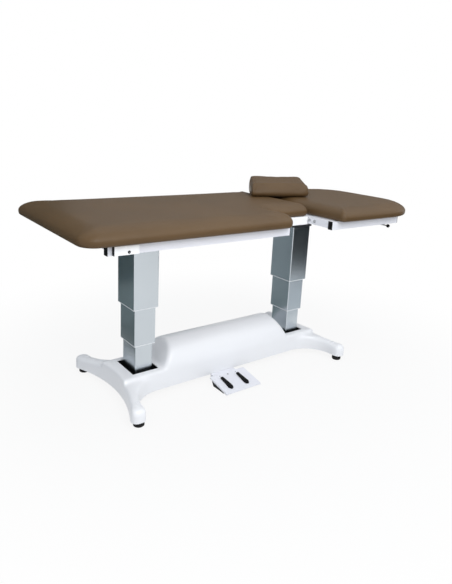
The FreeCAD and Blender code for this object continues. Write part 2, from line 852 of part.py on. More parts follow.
def spring_cylinder():
    """Pressure cylinder with its closed end, gland and lower eye."""
    width = 2 * spring_cylinder_radius
    start = spring_eye_radius - spring_eye_blend
    inside = start + spring_cap
    end = start + spring_cylinder_length
    body = fuse_all([spring_cross(0, spring_eye_radius, width),
                     cylinder(spring_cylinder_radius, V(start, 0, 0), V(end, 0, 0))])
    body = body.cut(cylinder(spring_bore_radius, V(inside, 0, 0), V(end - spring_gland, 0, 0)))
    body = body.cut(cylinder(spring_rod_radius + running_clearance, V(inside, 0, 0), V(end, 0, 0)))
    return along_spring(body.cut(spring_cross(0, spring_pin_radius + running_clearance, width)))


def spring_rod():
    """Piston rod with its upper eye and pin, at the flat position of the head section."""
    span = spring_pivot(spring_head_angle) - spring_pivot(spring_head_angle - spring_included_angle)
    start = spring_eye_radius - spring_eye_blend + spring_cap + spring_rod_slack
    rod = cylinder(spring_rod_radius, V(start, 0, 0), V(span.Length, 0, 0))
    eye = spring_cross(span.Length, spring_eye_radius, spring_eye_width)
    pin = spring_cross(span.Length, spring_pin_radius, spring_eye_width + cheek_gap)
    return along_spring(fuse_all([rod, eye, pin]))


def make_gas_spring():
    """Blockable gas spring that holds the head section."""
    save("gas_spring_cylinder", spring_cylinder())
    save("gas_spring_rod", spring_rod())


# Base

def end_outline(end):
    """Edges of one end of the base cover's plan: the bowed end wall and a leg on each side."""
    def at(reach, y):
        return V(outward(end, reach), y, 0)

    sway = math.asin((leg_tip_y - leg_tip_round) / (end_wall_radius + leg_tip_round))
    wall_y = end_wall_radius * math.sin(sway)
    wall_reach = end_reach + end_wall_radius * (1 - math.cos(sway))
    tip_reach = wall_reach - leg_tip_round * math.cos(sway)
    tip_y = leg_tip_y - leg_tip_round
    tip_turn = (math.pi / 2 - sway) / 2
    fillet_y = body_half_width + leg_fillet
    fillet_reach = leg_inner_reach - leg_fillet
    inner_reach = leg_inner_reach + leg_tip_round
    diagonal = math.sqrt(0.5)
    edges = [Part.Arc(at(wall_reach, -wall_y), at(end_reach, 0), at(wall_reach, wall_y)).toShape()]
    for s in SIDES:
        edges += [
            Part.Arc(at(wall_reach, s * wall_y),
                     at(tip_reach + leg_tip_round * math.cos(tip_turn),
                        s * (tip_y + leg_tip_round * math.sin(tip_turn))),
                     at(tip_reach, s * leg_tip_y)).toShape(),
            Part.LineSegment(at(tip_reach, s * leg_tip_y), at(inner_reach, s * leg_tip_y)).toShape(),
            Part.Arc(at(inner_reach, s * leg_tip_y),
                     at(inner_reach - leg_tip_round * diagonal, s * (tip_y + leg_tip_round * diagonal)),
                     at(leg_inner_reach, s * tip_y)).toShape(),
            Part.LineSegment(at(leg_inner_reach, s * tip_y), at(leg_inner_reach, s * fillet_y)).toShape(),
            Part.Arc(at(leg_inner_reach, s * fillet_y),
                     at(fillet_reach + leg_fillet * diagonal, s * (fillet_y - leg_fillet * diagonal)),
                     at(fillet_reach, s * body_half_width)).toShape()]
    return edges


def base_outline():
    """Bone-shaped plan of the base cover."""
    edges = [edge for end in ENDS for edge in end_outline(end)]
    for s in SIDES:
        ends = [V(outward(end, leg_inner_reach - leg_fillet), s * body_half_width, 0) for end in ENDS]
        edges.append(Part.LineSegment(*ends).toShape())
    return Part.Wire(Part.__sortEdges__(edges))


def round_over(shape, radius, wanted):
    """Round the edges of a shape that a test of their bounding boxes picks."""
    return shape.makeFillet(radius, [e for e in shape.Edges if wanted(e.BoundBox)])


def cover_leg(plan, end, side, inset):
    """One leg of the cover: a sloping top over the plan, running in under the plinth."""
    root_y = body_half_width / 2
    root_reach = leg_inner_reach - leg_fillet
    far_y, far_reach = leg_tip_y + leg_tip_round, 2 * end_reach
    roof = end_prism([(side * root_y, cover_bottom), (side * far_y, cover_bottom),
                      (side * far_y, leg_top(far_y) - inset), (side * root_y, leg_top(root_y) - inset)],
                     outward(end, root_reach), outward(end, far_reach))
    leg = prism(plan, cover_bottom, plinth_top).common(roof)
    cut_x = outward(end, root_reach)
    return round_over(leg, leg_round - inset, lambda b: (
        b.ZMin > leg_tip_height / 2 and b.ZLength < leg_root_height / 2
        and max(abs(b.YMin), abs(b.YMax)) > root_y + TINY
        and max(abs(b.XMin - cut_x), abs(b.XMax - cut_x)) > TINY))


def cover_body(inset):
    """Solid of the base cover with every wall drawn in by an inset, standing on its rim."""
    plan = base_outline()
    if inset:
        plan = Part.Face(plan).makeOffset2D(-inset).OuterWire
    half = body_half_width - inset
    pieces = [cover_leg(plan, end, side, inset) for end in ENDS for side in SIDES]
    for end in ENDS:
        block = prism(plan, cover_bottom, plinth_top - inset).common(
            box(outward(end, 2 * end_reach), outward(end, -hump_gap(end) - hump_round), -half, half,
                0, plinth_top))
        pieces.append(round_over(block, plinth_round - inset, lambda b: b.ZMin > plinth_top - inset - TINY))
    pieces.append(cover_hump(half, inset))
    return fuse_all(pieces)


def hump_gap(end):
    """Distance from a column's axis to the foot of the hump's end wall."""
    margin = hump_head_margin if end > 0 else hump_foot_margin
    return stage_x / 2 + opening_margin + margin


def cover_hump(half, inset):
    """Half-round hump over the electrics, its end walls leaning in towards the top."""
    lean = math.radians(hump_lean)
    top = hump_axis_z + half

    def end_x(end, z):
        return outward(end, -hump_gap(end) - inset / math.cos(lean) - (z - plinth_top) * math.tan(lean))

    x0, x1 = (end_x(end, cover_bottom) for end in ENDS)
    barrel = fuse_all([box(x0, x1, -half, half, cover_bottom, hump_axis_z),
                       cylinder(half, V(x0, 0, hump_axis_z), V(x1, 0, hump_axis_z))])
    wedge = side_prism([(x0, cover_bottom), (x1, cover_bottom), (end_x(1, top), top), (end_x(-1, top), top)],
                       -half, half)
    return round_over(barrel.common(wedge), hump_round - inset, lambda b: (
        b.ZMax > hump_axis_z + half / 2 and b.XLength < (x1 - x0) / 2))


def leg_top(y):
    """Height of a leg's top at a distance from the middle line."""
    drop = (leg_root_height - leg_tip_height) / (leg_tip_y - body_half_width)
    return leg_root_height - drop * (abs(y) - body_half_width)


def screw_plug(end, side):
    """Plug over a cover screw on top of a leg."""
    top = V(outward(end, plug_reach), side * plug_y, leg_top(plug_y) + plug_proud)
    return cylinder(plug_radius, top - V(0, 0, cover_wall + 2 * plug_proud), top)


def base_cover():
    """Moulded cover with column openings, plug holes and the mains inlet's hole."""
    shell = cover_body(0).cut(cover_body(cover_wall))
    size_x, size_y = (size + 2 * opening_margin for size in (stage_x, stage_y))
    for end in ENDS:
        shell = shell.cut(rounded_block(column_axis(end), size_x, size_y, stage_corner,
                                        plinth_top - 2 * cover_wall, plinth_top + OVERCUT))
        for side in SIDES:
            shell = shell.cut(screw_plug(end, side))
    hole = box(inlet_x - inlet_width / 2, inlet_x + inlet_width / 2, body_half_width - 2 * cover_wall,
               body_half_width + OVERCUT, inlet_z - inlet_height / 2, inlet_z + inlet_height / 2)
    return shell.cut(hole)


def column_well(end):
    """Black tray round the foot of a column, open at the top."""
    cx = column_axis(end)
    size_x, size_y = (size + 2 * base_plate_margin for size in (stage_x, stage_y))
    outer = rounded_block(cx, size_x, size_y, stage_corner, base_plate_top, plinth_top - cover_wall)
    room = rounded_block(cx, size_x - 2 * well_wall, size_y - 2 * well_wall, stage_bore_corner,
                         base_plate_top + well_wall, plinth_top)
    hole_x, hole_y = (size + 2 * glide_clearance for size in STAGES["lower"])
    hole = rounded_block(cx, hole_x, hole_y, stage_corner, base_plate_top, plinth_top)
    return outer.cut(room).cut(hole)


def leg_arm(end, side):
    """Flat arm from a long beam out to the threaded boss of a levelling foot."""
    root_reach = stage_x / 2 + base_plate_margin + arm_root_margin
    root = V(outward(end, root_reach), side * (beam_inner_y + beam_width), 0)
    tip = V(outward(end, boss_reach), side * boss_y, 0)
    way = (tip - root).normalize()
    across = V(-way.y, way.x, 0) * (arm_width / 2)
    back = root - way * beam_width
    corners = [back - across, tip - across, tip + across, back + across, back - across]
    face = Part.Face(Part.makePolygon(corners))
    face.translate(V(0, 0, beam_bottom))
    bar = face.extrude(V(0, 0, beam_height))
    outside = box(outward(end, -beam_width), outward(end, 2 * boss_reach), side * (beam_inner_y + beam_width),
                  side * 2 * boss_y, beam_bottom, beam_bottom + beam_height)
    low = V(tip.x, tip.y, beam_bottom)
    high = low + V(0, 0, beam_height)
    arm = fuse_all([bar.common(outside), cylinder(boss_radius, low, high)])
    return arm.cut(cylinder(stem_radius, low, high))


def foot_places():
    """Floor points under the four levelling feet."""
    return [V(outward(end, boss_reach), side * boss_y, 0) for end in ENDS for side in SIDES]


def foot_pad(place):
    """Rubber foot with a chamfered tread and a seat for the stem."""
    disc = cylinder(foot_pad_radius, place, place + V(0, 0, foot_pad_height))
    rims = [e for e in disc.Edges if e.BoundBox.ZLength < TINY]
    disc = disc.makeChamfer(foot_pad_chamfer, rims)
    seat = place + V(0, 0, foot_pad_seat)
    return disc.cut(cylinder(stem_radius, seat, place + V(0, 0, foot_pad_height)))


def foot_stem(place):
    """Threaded stem of a foot with its lock nut under the boss."""
    low = place + V(0, 0, foot_pad_seat)
    high = place + V(0, 0, beam_bottom + beam_height)
    nut = hexagon(lock_nut_width, place.x, place.y, beam_bottom - lock_nut_height, beam_bottom)
    return fuse_all([cylinder(stem_radius, low, high), nut])


def mains_inlet():
    """Flanged mains inlet in the far side of the base cover."""
    face = body_half_width
    body = box(inlet_x - inlet_width / 2, inlet_x + inlet_width / 2, face - inlet_depth, face,
               inlet_z - inlet_height / 2, inlet_z + inlet_height / 2)
    flange = box(inlet_x - inlet_flange / 2, inlet_x + inlet_flange / 2, face,
                 face + inlet_flange_thickness, inlet_z - inlet_flange_height / 2,
                 inlet_z + inlet_flange_height / 2)
    half_x = inlet_width / 2 - inlet_socket_wall
    half_z = inlet_height / 2 - inlet_socket_wall
    mouth = face + inlet_flange_thickness
    socket = box(inlet_x - half_x, inlet_x + half_x, mouth - inlet_socket_depth, mouth,
                 inlet_z - half_z, inlet_z + half_z)
    return fuse_all([body, flange]).cut(socket)


def make_base():
    """Base frame, feet, cover and electrics."""
    beam_y = (beam_inner_y, beam_inner_y + beam_width)
    beam_top = beam_bottom + beam_height
    save("base_long_beams", *[
        rect_tube(outward(-1, beam_overrun), outward(1, beam_overrun), *sorted(s * y for y in beam_y),
                  beam_bottom, beam_top, beam_wall, "x") for s in SIDES])
    save("base_leg_arms", *[leg_arm(e, s) for e in ENDS for s in SIDES])
    save("column_base_plates", *[
        rounded_block(column_axis(e), stage_x + 2 * base_plate_margin, stage_y + 2 * base_plate_margin,
                      stage_corner, beam_top, base_plate_top) for e in ENDS])
    save("levelling_foot_pads", *[foot_pad(p) for p in foot_places()])
    save("levelling_foot_stems", *[foot_stem(p) for p in foot_places()])
    save("base_cover", base_cover())
    save("cover_plugs", *[screw_plug(e, s) for e in ENDS for s in SIDES])
    save("column_wells", *[column_well(e) for e in ENDS])
    for name, size, way in (("control_box", control_box_size, -1), ("power_supply", supply_box_size, 1)):
        near = mid_x + way * box_spacing / 2
        save(name, box(near, near + way * size[0], -size[1] / 2, size[1] / 2, beam_top, beam_top + size[2]))
    save("mains_inlet", mains_inlet())


# Foot control

def on_slope(shape):
    """Place a shape drawn flat, with its back edge on y = 0, onto the sloping plate."""
    shape.Placement = FreeCAD.Placement(V(pedal_x, plate_back_y, plate_back_z),
                                        FreeCAD.Rotation(V(1, 0, 0), plate_slope))
    return shape


def pedal_shift(side):
    """Middle line of the left (-1) or right (+1) pedal, from the middle of the plate."""
    return pedal_offset + side * pedal_pitch / 2


def pedal_plan(side, grow, z0, z1):
    """Tapered plan of a pedal with a pointed front, grown by a clearance."""
    cx = pedal_shift(side)
    back, front = pedal_back_width / 2 + grow, pedal_front_width / 2 + grow
    y0, y1 = -pedal_back + grow, -pedal_back - pedal_length - grow
    tip = pedal_front_width / 4 + grow / 2
    waist = y1 + pedal_front_width / 2
    points = [V(cx - back, y0, z0), V(cx - front, waist, z0), V(cx - tip, y1, z0), V(cx + tip, y1, z0),
              V(cx + front, waist, z0), V(cx + back, y0, z0), V(cx - back, y0, z0)]
    return Part.Face(Part.makePolygon(points)).extrude(V(0, 0, z1 - z0))


def pedal_pin(radius, reach):
    """Cross pin line under the back of the pedals."""
    y, z = -pedal_back - pedal_pin_setback, -pedal_pin_depth
    return cylinder(radius, V(pedal_offset - reach, y, z), V(pedal_offset + reach, y, z))


def pedal(side):
    """Tapered foot pedal with a lug on the cross pin."""
    body = pedal_plan(side, 0, -pedal_sink, pedal_rise)
    top = [e for e in body.Edges if e.BoundBox.ZMin > pedal_rise - TINY]
    body = body.makeFillet(pedal_round, top)
    cx, half = pedal_shift(side), pedal_back_width / 2
    lug = box(cx - half, cx + half, -pedal_back - pedal_lug_length, -pedal_back,
              -pedal_pin_depth - 2 * pedal_pin_radius, -pedal_sink)
    body = fuse_all([body, lug])
    return on_slope(body.cut(pedal_pin(pedal_pin_radius + running_clearance, plate_width)))


def pedal_pocket(side):
    """Room under a pedal: deep at its lug and switch, shallow at its front."""
    under = -plate_thickness
    whole = pedal_plan(side, pedal_clearance, -pocket_front_depth, under)
    deep = pedal_plan(side, pedal_clearance, -pocket_depth, under).common(
        box(-plate_width, plate_width, -pedal_back - pocket_deep_length, 0, -pocket_depth, under))
    return fuse_all([whole, deep])


def pedal_plate():
    """Sloping white plate with folded sides and a slot for each pedal."""
    half = plate_width / 2
    plate = box(-half, half, -plate_depth, 0, -plate_thickness, 0)
    skirts = [box(s * half, s * (half - plate_thickness), -plate_depth, 0, -plate_skirt, 0) for s in SIDES]
    body = fuse_all([plate] + skirts)
    corners = [e for e in body.Edges
               if e.BoundBox.ZLength > plate_skirt - TINY and e.BoundBox.XLength < TINY
               and abs(abs(e.BoundBox.XMin) - half) < TINY]
    body = body.makeFillet(plate_corner, corners)
    for side in SIDES:
        body = body.cut(pedal_plan(side, pedal_clearance, -plate_thickness, 0))
    return on_slope(body)


def slope_z(y):
    """Height of the underside of the sloping plate at a y."""
    slope = math.radians(plate_slope)
    return plate_back_z + (y - plate_back_y) * math.tan(slope) - plate_thickness / math.cos(slope)


def mount_arm():
    """Arm that carries the foot control from the near long beam, with a block that closes the gap to the cover."""
    x0, x1 = pedal_x - mount_arm_width / 2, pedal_x + mount_arm_width / 2
    top = mount_arm_bottom + mount_arm_thickness
    back = plate_back_y - housing_back_setback
    outer = beam_inner_y + beam_width
    half = mount_block_width / 2
    return fuse_all([box(x0, x1, back - mount_arm_grip, -beam_inner_y, mount_arm_bottom, top),
                     box(x0, x1, -outer, -beam_inner_y, top, beam_bottom),
                     box(pedal_x - half, pedal_x + half, back + mount_block_gap, -body_half_width - mount_block_gap,
                         mount_arm_bottom, cover_bottom + mount_block_rise)])


def pedal_housing():
    """Black wedge under the plate, with a pocket for each pedal and the cross pin's bore."""
    half = plate_width / 2 - housing_inset
    run = plate_depth * math.cos(math.radians(plate_slope))
    back, front = plate_back_y - housing_back_setback, plate_back_y - run + housing_front_setback
    body = end_prism([(front + housing_floor_front, 0), (back - housing_floor_back, 0),
                      (back, slope_z(back)), (front, slope_z(front))], pedal_x - half, pedal_x + half)
    for side in SIDES:
        body = body.cut(on_slope(pedal_pocket(side)))
    return body.cut(on_slope(pedal_pin(pedal_pin_radius, pedal_pin_reach))).cut(mount_arm())


def pedal_switch(side):
    """Small switch on the floor of a pedal's pocket."""
    cx, y = pedal_shift(side), -pedal_back - switch_setback
    half = switch_size / 2
    return on_slope(box(cx - half, cx + half, y - half, y + half,
                        -pocket_depth, -pocket_depth + switch_height))


def make_foot_control():
    """Foot control with its two pedals and the arm that carries it."""
    save("pedal_arm", mount_arm())
    save("pedal_housing", pedal_housing())
    save("pedal_plate", pedal_plate())
    save("pedal_pivot_pin", on_slope(pedal_pin(pedal_pin_radius, pedal_pin_reach)))
    save("pedal_switches", *[pedal_switch(s) for s in SIDES])
    for side, name in zip(SIDES, ("left", "right")):
        save(f"{name}_pedal", pedal(side))


def main():
    """Build every piece and write it out."""
    os.makedirs("parts", exist_ok=True)
    make_pads()
    make_columns()
    make_main_frame()
    make_head_section()
    make_gas_spring()
    make_base()
    make_foot_control()


main()
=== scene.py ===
"""Looks of a two-column examination table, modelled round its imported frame.

The frame gives the rigid pieces. This script dresses them, and models the upholstery and the small
details on them. Lengths are metres: +X is the head end, -Y the side with the cut-out, floor at Z 0.
"""

from __future__ import annotations

import json
import logging
import math
from abc import ABC, abstractmethod
from collections.abc import Sequence
from dataclasses import dataclass
from enum import Enum

import bmesh
import bpy
import numpy as np
from mathutils import Matrix, Vector
from mathutils.bvhtree import BVHTree

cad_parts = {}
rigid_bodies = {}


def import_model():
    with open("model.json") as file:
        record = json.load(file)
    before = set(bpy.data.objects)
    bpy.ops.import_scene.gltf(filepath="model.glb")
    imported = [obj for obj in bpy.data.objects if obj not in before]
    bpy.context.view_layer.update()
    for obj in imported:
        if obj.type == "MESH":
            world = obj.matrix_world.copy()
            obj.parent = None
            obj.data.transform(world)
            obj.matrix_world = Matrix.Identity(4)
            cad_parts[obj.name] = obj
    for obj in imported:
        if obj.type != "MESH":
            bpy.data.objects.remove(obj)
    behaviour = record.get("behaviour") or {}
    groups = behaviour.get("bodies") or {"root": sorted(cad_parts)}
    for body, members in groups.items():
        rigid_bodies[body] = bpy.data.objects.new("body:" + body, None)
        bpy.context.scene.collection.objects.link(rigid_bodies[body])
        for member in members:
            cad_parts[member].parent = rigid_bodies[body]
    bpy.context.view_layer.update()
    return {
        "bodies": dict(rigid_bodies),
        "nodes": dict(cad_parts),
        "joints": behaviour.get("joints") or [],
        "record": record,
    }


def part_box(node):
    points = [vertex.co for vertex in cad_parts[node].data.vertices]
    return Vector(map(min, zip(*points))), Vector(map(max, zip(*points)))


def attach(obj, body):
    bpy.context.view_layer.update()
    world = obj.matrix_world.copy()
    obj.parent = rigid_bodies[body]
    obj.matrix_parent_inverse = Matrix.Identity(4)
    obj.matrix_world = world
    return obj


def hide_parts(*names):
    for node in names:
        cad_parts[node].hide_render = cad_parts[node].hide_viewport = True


LOG = logging.getLogger("examination_table")

Colour = tuple[float, float, float]
Point = tuple[float, float, float]
Span = tuple[float, float]
Mesh = bpy.types.Mesh
Shape = bmesh.types.BMesh
Socket = bpy.types.NodeSocket

# Distances within which points are the same, are welded, or count as in line
TINY = 1e-6
WELD = 1e-5
NEAR = 1e-4
# Part of a normal along an axis that tells faces across the axis from faces along it
SLANT = 0.5
# How far points go towards their neighbours in a round of smoothing
HALF_WAY = 0.5
# Faces across the round of a small edge
SMALL_ROUND = 2
# Least squared height of a quarter round of height 1
LEAST_SQUARE = 1e-4
# Where most of a noise's values lie
NOISE_SPAN: Span = (0.3, 0.7)
# Length of a wave of the wave texture at a scale of 1
WAVE_LENGTH = 0.314
# Roughness of a surface without shine
MATT = 0.9
WHITE: Colour = (1.0, 1.0, 1.0)


def opaque(colour: Colour) -> tuple[float, float, float, float]:
    """A colour with full alpha, as colour sockets take it."""
    return (*colour, 1.0)


class Slot(Enum):
    """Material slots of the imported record."""

    PAINT = "white_epoxy_steel"
    MOULDING = "white_moulding"
    ALUMINIUM = "anodised_aluminium"
    GLIDE = "grey_glide"
    BLACK = "black_plastic"
    RUBBER = "black_rubber"
    STEEL = "bright_steel"
    DARK_PAINT = "dark_painted_steel"
    HOUSING = "grey_housing"
    PLYWOOD = "plywood"
    LEATHERETTE = "brown_leatherette"
    SHEATH = "cable_sheath"


class Body(Enum):
    """Bodies of the frame that new pieces ride on."""

    BASE = "base"
    TABLE_TOP = "table_top"
    HEAD = "head_section"
    PILLOW = "pillow"
    LEFT_PEDAL = "left_pedal"
    RIGHT_PEDAL = "right_pedal"


# Finishes

class NodeTree:
    """Node tree with short calls to add and link its nodes."""

    def __init__(self, tree: bpy.types.NodeTree) -> None:
        """Take up a tree."""
        self.nodes = tree.nodes
        self.links = tree.links

    def plug(self, target: Socket, value: object) -> None:
        """Link a socket to an input, or write a plain value on it.

        Args:
            target: Input socket.
            value: Output socket, number, colour or vector.
        """
        if isinstance(value, Socket):
            self.links.new(value, target)
        else:
            target.default_value = value

    def node(self, kind: str, inputs: dict[str | int, object], **settings: object) -> bpy.types.Node:
        """Add a node with its inputs and settings.

        Args:
            kind: Shader node's type, without its prefix.
            inputs: Values or sockets for its inputs, by name or number.
            settings: Values of the node's own properties.

        Returns:
            The node.
        """
        node = self.nodes.new("ShaderNode" + kind)
        for key, value in settings.items():
            setattr(node, key, value)
        for key, value in inputs.items():
            self.plug(node.inputs[key], value)
        return node

    def tint(self, factor: Socket, low: Colour, high: Colour) -> Socket:
        """Colour between two colours."""
        inputs = {0: factor, 6: opaque(low), 7: opaque(high)}
        return self.node("Mix", inputs, data_type="RGBA").outputs[2]


class NodeSheet(NodeTree):
    """Node tree of one material, with the nodes that the finishes share."""

    def __init__(self, name: str) -> None:
        """Start a material with its shader and Object coordinates.

        Args:
            name: Name of the material.
        """
        self.material = bpy.data.materials.new(name)
        self.material.use_nodes = True
        super().__init__(self.material.node_tree)
        self.shader = self.nodes["Principled BSDF"]
        self.place = self.node("TexCoord", {}).outputs["Object"]

    def stretched(self, scale: Point) -> Socket:
        """Object coordinates with each axis scaled."""
        return self.node("Mapping", {"Vector": self.place, "Scale": scale}).outputs["Vector"]

    def noise(self, scale: float, detail: float, at: Socket | None = None) -> Socket:
        """Cloudy noise from 0 to 1 of some waves per metre and octaves, on Object coordinates or others."""
        inputs = {"Vector": at or self.place, "Scale": scale, "Detail": detail}
        return self.node("TexNoise", inputs).outputs["Fac"]

    def cells(self, scale: float) -> Socket:
        """Distance from the middle of irregular cells, of which a metre holds as many as the scale."""
        inputs = {"Vector": self.place, "Scale": scale}
        return self.node("TexVoronoi", inputs, feature="F1").outputs["Distance"]

    def remap(self, value: Socket, span: Span, start: float, end: float) -> Socket:
        """A value that goes over a span, eased to run from start to end."""
        inputs = {"Value": value, "From Min": span[0], "From Max": span[1], "To Min": start, "To Max": end}
        return self.node("MapRange", inputs, interpolation_type="SMOOTHSTEP").outputs["Result"]

    def sum(self, first: Socket, second: Socket, share: float) -> Socket:
        """First value plus a share of the second."""
        inputs = {0: second, 1: share, 2: first}
        return self.node("Math", inputs, operation="MULTIPLY_ADD").outputs["Value"]

    def relief(self, height: Socket, depth: float) -> None:
        """Raise the surface by a height from 0 to 1, which stands for a depth in metres."""
        bump = self.node("Bump", {"Height": height, "Distance": depth})
        self.plug(self.shader.inputs["Normal"], bump.outputs["Normal"])

    def surface(self, **values: object) -> None:
        """Set or link the shader's inputs, with underscores for spaces in their names."""
        for key, value in values.items():
            self.plug(self.shader.inputs[key.replace("_", " ")], value)


@dataclass(frozen=True)
class Finish(ABC):
    """A surface finish. Its fields are its colours and the scale of its detail."""

    name: str

    @abstractmethod
    def dress(self, sheet: NodeSheet) -> None:
        """Lay the finish's nodes on a sheet."""

    def material(self) -> bpy.types.Material:
        """Make the finish.

        Returns:
            Its material.
        """
        sheet = NodeSheet(self.name)
        self.dress(sheet)
        return sheet.material


@dataclass(frozen=True)
class Leatherette(Finish):
    """Coated upholstery cloth with a fine pressed grain."""

    deep: Colour = (0.088, 0.0512, 0.0212)
    light: Colour = (0.110, 0.0640, 0.0268)
    pebbles_per_metre: float = 620.0
    pebble_span: Span = (0.12, 0.75)
    pebble_share: float = 0.45
    fine_per_metre: float = 2600.0
    fine_share: float = 0.25
    clouds_per_metre: float = 4.5
    gloss: Span = (0.36, 0.50)
    gloss_cloud: float = 0.6
    gloss_span: Span = (0.2, 1.4)
    specular: float = 0.25
    pore_depth: float = 0.00022

    def dress(self, sheet: NodeSheet) -> None:
        """Pebbled grain with darker pores, slightly uneven in colour and gloss.

        Args:
            sheet: The material's sheet.
        """
        pebble = sheet.remap(sheet.cells(self.pebbles_per_metre), self.pebble_span, 1.0, 0.0)
        fine = sheet.noise(self.fine_per_metre, 3.0)
        cloud = sheet.noise(self.clouds_per_metre, 3.0)
        patches = sheet.remap(cloud, NOISE_SPAN, 0.0, 1.0 - self.pebble_share)
        tone = sheet.sum(patches, pebble, self.pebble_share)
        wear = sheet.sum(pebble, cloud, self.gloss_cloud)
        sheet.surface(Base_Color=sheet.tint(tone, self.deep, self.light),
                      Roughness=sheet.remap(wear, self.gloss_span, *self.gloss),
                      Specular_IOR_Level=self.specular)
        sheet.relief(sheet.sum(pebble, fine, self.fine_share), self.pore_depth)


@dataclass(frozen=True)
class PaintedSteel(Finish):
    """Baked paint on steel, with the slight orange peel of a sprayed coat."""

    pale: Colour = (0.80, 0.81, 0.865)
    shade: Colour = (0.785, 0.795, 0.85)
    gloss: float = 0.30
    gloss_change: float = 0.06
    clouds_per_metre: float = 9.0
    cloud_span: Span = (0.35, 0.65)
    peel_per_metre: float = 420.0
    fine_per_metre: float = 2100.0
    fine_share: float = 0.2
    peel_depth: float = 0.00006

    def dress(self, sheet: NodeSheet) -> None:
        """Orange peel, with a faint cloudiness of colour and gloss.

        Args:
            sheet: The material's sheet.
        """
        cloud = sheet.noise(self.clouds_per_metre, 4.0)
        peel = sheet.noise(self.peel_per_metre, 1.0)
        fine = sheet.noise(self.fine_per_metre, 2.0)
        tone = sheet.remap(cloud, self.cloud_span, 0.0, 1.0)
        sheet.surface(Base_Color=sheet.tint(tone, self.shade, self.pale),
                      Roughness=sheet.remap(cloud, NOISE_SPAN, self.gloss + self.gloss_change, self.gloss))
        sheet.relief(sheet.sum(peel, fine, self.fine_share), self.peel_depth)


@dataclass(frozen=True)
class Moulding(Finish):
    """Moulded plastic: its colour, its sparked or polished texture and its wear."""

    pale: Colour
    shade: Colour
    gloss: float
    texture_per_metre: float
    texture_depth: float
    specular: float = 0.5
    clouds_per_metre: float = 7.0
    rubs_per_metre: float = 22.0
    rub_cloud: float = 0.5
    rub_span: Span = (0.65, 1.0)
    gloss_change: float = 0.015

    def dress(self, sheet: NodeSheet) -> None:
        """Fine mould texture, clouded gloss and thin rubbed streaks.

        Args:
            sheet: The material's sheet.
        """
        cloud = sheet.noise(self.clouds_per_metre, 4.0)
        texture = sheet.noise(self.texture_per_metre, 3.0)
        rubbed = sheet.noise(self.rubs_per_metre, 5.0)
        wear = sheet.remap(sheet.sum(rubbed, cloud, self.rub_cloud), self.rub_span, 0.0, 1.0)
        tone = sheet.remap(cloud, NOISE_SPAN, 0.0, 1.0)
        sheet.surface(Base_Color=sheet.tint(tone, self.shade, self.pale), Specular_IOR_Level=self.specular,
                      Roughness=sheet.remap(wear, (0.0, 1.0), self.gloss, self.gloss + self.gloss_change))
        sheet.relief(texture, self.texture_depth)


@dataclass(frozen=True)
class Metal(Finish):
    """Bare metal with drawn or turned lines along one direction."""

    pale: Colour
    shade: Colour
    gloss: float
    lines: Point
    line_depth: float = 0.00002
    clouds_per_metre: float = 11.0
    cloud_share: float = 0.6
    tone_span: Span = (0.5, 1.1)
    gloss_change: float = 0.03

    def dress(self, sheet: NodeSheet) -> None:
        """Fine lines over a faint cloud of tone.

        Args:
            sheet: The material's sheet.
        """
        lines = sheet.noise(1.0, 3.0, sheet.stretched(self.lines))
        cloud = sheet.noise(self.clouds_per_metre, 3.0)
        tone = sheet.remap(sheet.sum(lines, cloud, self.cloud_share), self.tone_span, 0.0, 1.0)
        sheet.surface(Base_Color=sheet.tint(tone, self.shade, self.pale), Metallic=1.0,
                      Roughness=sheet.remap(lines, NOISE_SPAN, self.gloss + self.gloss_change, self.gloss))
        sheet.relief(lines, self.line_depth)


@dataclass(frozen=True)
class Plywood(Finish):
    """Birch plywood: plies along the edges and drawn-out grain on the faces."""

    pale: Colour = (0.56, 0.40, 0.24)
    shade: Colour = (0.36, 0.22, 0.11)
    grain: Point = (14.0, 260.0, 40.0)
    grain_share: float = 0.7
    grain_depth: float = 0.0001
    ply: float = 0.0015
    ply_share: float = 0.35
    ply_waver: float = 0.4
    gloss: Span = (0.72, 0.6)

    def dress(self, sheet: NodeSheet) -> None:
        """Grain along the length, with alternate plies darker.

        Args:
            sheet: The material's sheet.
        """
        grain = sheet.noise(1.0, 6.0, sheet.stretched(self.grain))
        inputs = {"Vector": sheet.place, "Scale": WAVE_LENGTH / self.ply, "Distortion": self.ply_waver}
        plies = sheet.node("TexWave", inputs, bands_direction="Z").outputs["Fac"]
        tone = sheet.sum(sheet.remap(grain, NOISE_SPAN, 0.0, self.grain_share), plies, self.ply_share)
        sheet.surface(Base_Color=sheet.tint(tone, self.shade, self.pale),
                      Roughness=sheet.remap(grain, NOISE_SPAN, *self.gloss))
        sheet.relief(grain, self.grain_depth)


# Waves per metre along each axis of the lines on turned steel
TURNED: Point = (500.0, 500.0, 1800.0)

